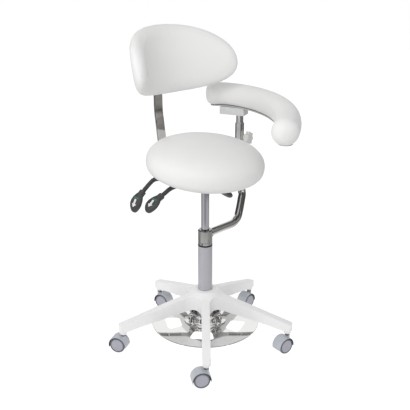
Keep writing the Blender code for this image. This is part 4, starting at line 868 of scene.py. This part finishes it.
LEVER_EYE_RADIUS, LEVER_EYE_HALF, LEVER_EYE_AT, LEVER_LEVEL = 0.008, 0.0100, 0.0486, 0.581
SLEEVE_RADIUS, RIB_PITCH, RIB_SHARE, FERRULE_LENGTH, FERRULE_SHARE = 0.0066, 0.0054, 0.20, 0.020, 1.76
PADDLE_LENGTH, PADDLE_WIDTH, PADDLE_THICK, PADDLE_GRIP, PADDLE_NECK = 0.071, 0.054, 0.023, 0.014, 0.36
PADDLE_BOW, ARROW_RAISED = 0.005, 0.0005
BACK_LEVER_ROUTE = ((0.090, 0.594), (0.122, 0.6045), (0.138, 0.6050), (0.148, 0.6012), (0.172, 0.5848),
    (0.2000, 0.5617))
TILT_LEVER_ROUTE = ((0.090, 0.590), (0.1234, 0.5891), (0.1497, 0.5779), (0.1795, 0.5648))
LIFT_LEVER_ROUTE = ((0.066, 0.571), (0.085, 0.5535), (0.098, 0.5405), (0.106, 0.5325))
LEVERS = (("back_lever", -1, 0.100, 62, BACK_LEVER_ROUTE), ("tilt_lever", -1, 0.030, 38, TILT_LEVER_ROUTE),
    ("lift_lever", 1, 0.030, 38, LIFT_LEVER_ROUTE))


def paddle_form(name, fat):
    """A ball drawn out to a leaf: narrow at the shaft, full past the middle and blunt-pointed at the tip."""
    piece = started(name, bpy.ops.mesh.primitive_uv_sphere_add, segments=48, ring_count=32, radius=1)
    for vert in piece.data.vertices:
        x, y, z = vert.co
        swell = max(0, 1 - abs(z) ** 3) ** (1 / 3) / max(math.hypot(x, y), 0.001)
        opened = PADDLE_NECK + (1 - PADDLE_NECK) * math.sin(math.pi / 2 * min(1, (1 + z) / 1.15))
        waist = opened * (1 - 0.42 * max(0, (z - 0.15) / 0.85) ** 1.5)
        wide = x * swell * waist * PADDLE_WIDTH / 2 + PADDLE_BOW * (1 - z * z)
        vert.co = (wide, y * swell * (PADDLE_THICK / 2 + fat), z * PADDLE_LENGTH / 2)
    only(piece)
    bpy.ops.object.shade_smooth()
    return piece


def even_line(points, spacing):
    """Points set evenly along a line."""
    found = [points[0].copy()]
    left = spacing
    for a, b in zip(points, points[1:]):
        run = (b - a).length
        at = 0
        while run - at >= left:
            at += left
            found.append(a.lerp(b, at / run))
            left = spacing
        left -= run - at
    return found


lever_black = finish("lever_black_plastic", (0.055, 0.055, 0.058), 0.46, drift=0.12, patch=0.02,
    grain=0.00012, grain_size=0.0009)
sleeve_black = finish("lever_ribbed_sleeve", (0.06, 0.06, 0.062), 0.32, drift=0.12, patch=0.01)
arrow_white = finish("arrow_white_print", (0.72, 0.73, 0.71), 0.45, drift=0.03, patch=0.004)
stripe_green = finish("stripe_green_print", (0.055, 0.17, 0.11), 0.45, drift=0.05, patch=0.004)
ARROW = [(0, 0.0200), (0.0105, 0.0085), (0.0040, 0.0085), (0.0040, -0.0080), (-0.0040, -0.0080),
    (-0.0040, 0.0085), (-0.0105, 0.0085)]
STRIPE = [(-0.0105, -0.0150), (0.0105, -0.0150), (0.0105, -0.0100), (-0.0105, -0.0100)]
for name, side, back_by, droop, route in LEVERS:
    eye = Vector((side * LEVER_EYE_AT, back_by, LEVER_LEVEL))
    bends = [eye] + [Vector((side * x, back_by, z)) for x, z in route]
    shaft_line = even_line(smooth_route(bends, 24), RIB_PITCH / 6)
    whole = len(shaft_line) * RIB_PITCH / 6
    thick = []
    for index in range(len(shaft_line)):
        from_end = whole - index * RIB_PITCH / 6
        ribbed = 1 + RIB_SHARE * (0.5 - 0.5 * math.cos(2 * math.pi * index / 6))
        thick.append(FERRULE_SHARE if from_end < FERRULE_LENGTH else ribbed)
    sleeve = swept(f"{name}_sleeve", shaft_line, SLEEVE_RADIUS, 8, thick)
    dressed(sleeve, sleeve_black, name, "charcoal", f"{name}_shaft", at=chair_place)
    section = rod_section(LEVER_EYE_RADIUS, -LEVER_EYE_HALF, LEVER_EYE_HALF)
    ring = rounded(turned(f"{name}_eye", section, 32), 0.001)
    eye_place = chair_place @ Matrix.Translation(eye) @ Matrix.Rotation(math.radians(90), 4, "X")
    dressed(ring, lever_black, name, "charcoal", at=eye_place)
    angle = math.radians(droop)
    length_axis = Vector((side * math.cos(angle), 0, -math.sin(angle)))
    width_axis = Vector((0, 1, 0))
    paddle_axes = Matrix((width_axis, length_axis.cross(width_axis), length_axis)).transposed()
    middle = shaft_line[-1] + length_axis * (PADDLE_LENGTH / 2 - PADDLE_GRIP)
    paddle_place = chair_place @ Matrix.Translation(middle) @ paddle_axes.to_4x4()
    paddle = paddle_form(f"{name}_grip", 0)
    dressed(paddle, lever_black, name, "charcoal", f"{name}_paddle", at=paddle_place)
    for mark, outline, look in (("arrow", ARROW, arrow_white), ("stripe", STRIPE, stripe_green)):
        print_on = plate(f"{name}_{mark}", outline, 0.002, 0.030)
        print_on.data.transform(Matrix.Rotation(math.radians(90), 4, "X"))
        if side > 0:
            print_on.data.transform(Matrix.Rotation(math.pi, 4, "Z"))
        combine(print_on, paddle_form("raised", ARROW_RAISED), "INTERSECT")
        only(print_on)
        bpy.ops.object.shade_smooth_by_angle(angle=math.radians(40))
        dressed(print_on, look, name, "pale_knob", at=paddle_place)


# Studio. A white paper sweep under level room light, with one large soft light in front, one on the left
# and a smaller key between them. What the chrome mirrors is a shaded room floor and a ring of cards that
# only mirrored light sees.

FLOOR_HALF, FLOOR_GLOW, FLOOR_SEEN = 8.0, 0.82, 1.17
ROOM_LIGHT, ROOM_HALF, ROOM_FLOOR = 0.68, 3.2, 0.004
PHOTO_PIXELS, FOCAL_PIXELS, SENSOR_MM = 410, 689, 36
CAMERA_AT, CAMERA_DOWN = (0.0130, -2.2017, 1.307), math.radians(19.96)


def seen_or_mirrored(tree):
    """1 on rays from the camera and on mirrored or refracted ones, which see the white sweep itself."""
    path = added(tree, "LightPath")
    either = path.outputs["Is Camera Ray"]
    for ray in ("Is Glossy Ray", "Is Transmission Ray"):
        larger = added(tree, "Math", Value=either)
        larger.operation = "MAXIMUM"
        tree.links.new(path.outputs[ray], larger.inputs[1])
        either = larger.outputs[0]
    return either


def mixed(tree, share, first, second, output):
    """Shows a mixture of two shaders."""
    mix = added(tree, "MixShader", Fac=share)
    tree.links.new(first.outputs[0], mix.inputs[1])
    tree.links.new(second.outputs[0], mix.inputs[2])
    fed(tree.nodes[output], Surface=mix.outputs["Shader"])


def glowing(card, name):
    """Gives a card a material that glows; returns its node tree and the node that glows."""
    look = bpy.data.materials.new(name)
    look.use_nodes = True
    tree = look.node_tree
    glow = added(tree, "Emission")
    fed(tree.nodes["Material Output"], Surface=glow.outputs["Emission"])
    card.data.materials.append(look)
    return tree, glow


def sweep_floor():
    """White paper that glows as if lit evenly, so that only a faint part of any shadow is left on it."""
    floor = started("studio_floor", bpy.ops.mesh.primitive_plane_add, size=2 * FLOOR_HALF)
    tree, glow = glowing(floor, "white_sweep")
    paper = fed(tree.nodes["Principled BSDF"], Base_Color=(0.9, 0.9, 0.9, 1), Roughness=0.9)
    fed(paper, Specular_IOR_Level=0.0)
    level = added(tree, "MapRange", Value=seen_or_mirrored(tree), To_Min=FLOOR_GLOW, To_Max=FLOOR_SEEN)
    fed(glow, Strength=level.outputs["Result"])
    mixed(tree, 0.86, paper, glow, "Material Output")


def studio_world():
    """White where the camera sees it, and a level soft light everywhere else."""
    world = bpy.data.worlds.new("studio")
    world.use_nodes = True
    bpy.context.scene.world = world
    tree = world.node_tree
    around = fed(tree.nodes["Background"], Color=(1, 1, 1, 1), Strength=ROOM_LIGHT)
    white = added(tree, "Background", Color=(1, 1, 1, 1), Strength=1.0)
    mixed(tree, seen_or_mirrored(tree), around, white, "World Output")


def soft_light(name, at, size, watts):
    """A square soft light aimed at the middle of the chair; metal doesn't mirror it."""
    lamp = bpy.data.lights.new(name, "AREA")
    lamp.size = size
    lamp.energy = watts
    holder = bpy.data.objects.new(name, lamp)
    bpy.context.scene.collection.objects.link(holder)
    holder.visible_glossy = False
    holder.location = at
    holder.rotation_euler = (Vector((0, 0, 0.7)) - Vector(at)).to_track_quat("-Z", "Y").to_euler()


def mirrored_only(card):
    """Hides a piece of the room from everything but mirrored light."""
    for light in ("camera", "diffuse", "shadow", "transmission"):
        setattr(card, f"visible_{light}", False)


def room_card(name, corners, shade):
    """A card that only mirrored light sees, mottled as a real room is."""
    card = started(name, bpy.ops.mesh.primitive_plane_add, size=1)
    for vert, corner in zip(card.data.vertices, corners):
        vert.co = corner
    tree, glow = glowing(card, name)
    place = added(tree, "TexCoord").outputs["Object"]
    clutter = added(tree, "TexNoise", Vector=place, Scale=2.6, Detail=2).outputs["Fac"]
    dark, light = [part * 0.5 for part in shade], [part * 1.6 for part in shade]
    fed(glow, Color=ramp(tree, clutter, (0.38, dark), (0.62, light)))
    mirrored_only(card)


def upright_card(name, start, end, bottom, top, shade):
    """A card standing on the line between two places in plan."""
    room_card(name, ((*start, bottom), (*end, bottom), (*start, top), (*end, top)), shade)


def hung_card(name, low, high, level, shade):
    """A level card overhead, from its lowest to its highest corner in plan."""
    room_card(name, ((*low, level), (high[0], low[1], level), (low[0], high[1], level), (*high, level)),
        shade)


def room_floor():
    """The floor that only mirrored light sees: white paper near the chair, the darker room round it."""
    plane = bpy.ops.mesh.primitive_plane_add
    floor = started("card_room_floor", plane, size=2 * ROOM_HALF, location=(0, 0, ROOM_FLOOR))
    tree, glow = glowing(floor, "room_floor")
    place = added(tree, "TexCoord").outputs["Object"]
    turn = added(tree, "TexGradient", Vector=place)
    turn.gradient_type = "RADIAL"
    away = added(tree, "VectorMath", Vector=place)
    away.operation = "LENGTH"
    colour = (1, 1, 1, 1)
    for near, far, ring in ROOM_RINGS:
        stops = [(where, (shade, shade * 0.99, shade * 0.98)) for where, shade in ring]
        shades = ramp(tree, turn.outputs["Fac"], *stops)
        reach = added(tree, "MapRange", Value=away.outputs["Value"], From_Min=near, From_Max=far)
        mix = added(tree, "MixRGB", Fac=reach.outputs["Result"], Color1=colour, Color2=shades)
        colour = mix.outputs["Color"]
    fed(glow, Color=colour)
    mirrored_only(floor)


HALL_RING = ((0.00, 0.40), (0.06, 1.0), (0.33, 1.0), (0.40, 0.50), (0.62, 0.50), (0.72, 1.0), (0.82, 1.0),
    (0.87, 0.35), (1.0, 0.40))
NEAR_RING = ((0.00, 0.52), (0.12, 0.70), (0.21, 0.40), (0.29, 0.35), (0.375, 0.66), (0.47, 0.58),
    (0.60, 0.55), (0.75, 1.0), (0.90, 0.30), (1.0, 0.52))
FAR_RING = ((0.00, 0.50), (0.10, 0.60), (0.18, 0.40), (0.265, 0.35), (0.344, 0.12), (0.43, 0.08),
    (0.53, 0.15), (0.62, 0.5), (0.75, 1.0), (0.87, 0.30), (1.0, 0.50))
ROOM_RINGS = ((0.45, 0.65, HALL_RING), (0.95, 1.15, NEAR_RING), (1.5, 1.7, FAR_RING))
DIM, SHADE = (0.045, 0.043, 0.042), (0.11, 0.107, 0.105)
DUSKY, PALE = (0.190, 0.182, 0.175), (0.32, 0.315, 0.31)
CEILING, LAMP_LEVEL, LAMP_SHADE = 2.3, 2.25, (0.9, 0.9, 0.9)
sweep_floor()
studio_world()
soft_light("front_softbox", (0, -2.4, 2.4), 1.5, 14.1)
soft_light("left_softbox", (-2.2, -0.3, 1.1), 1.5, 6.3)
soft_light("key_softbox", (-0.9, -1.3, 1.9), 0.8, 8.4)
room_floor()
upright_card("card_left_rear", (-1.00, 0.45), (-1.30, 2.60), 0.10, CEILING, DIM)
upright_card("card_right_rear", (1.05, 0.45), (1.35, 2.60), ROOM_FLOOR, CEILING, SHADE)
upright_card("card_left", (-2.60, -2.5), (-2.60, 1.10), ROOM_FLOOR, CEILING, PALE)
upright_card("card_right", (2.60, -2.50), (2.60, 1.10), ROOM_FLOOR, CEILING, DUSKY)
upright_card("card_ahead", (-2.6, -3.1), (2.6, -3.1), ROOM_FLOOR, 3.0, DIM)
hung_card("card_overhead", (-2.6, -0.3), (2.6, 1.7), CEILING, DIM)
hung_card("card_overhead_rear", (-2.6, 1.7), (2.6, 2.7), CEILING, PALE)
hung_card("lamp_overhead", (1.75, 0.7), (2.20, 1.1), LAMP_LEVEL, LAMP_SHADE)

bpy.context.scene.view_settings.view_transform = "Standard"
lens = bpy.data.cameras.new("photo_camera")
lens.sensor_width = SENSOR_MM
lens.lens = SENSOR_MM * FOCAL_PIXELS / PHOTO_PIXELS
camera = bpy.data.objects.new("photo_camera", lens)
bpy.context.scene.collection.objects.link(camera)
camera.location = CAMERA_AT
camera.rotation_euler = (math.radians(90) - CAMERA_DOWN, 0, 0)
bpy.context.scene.camera = camera
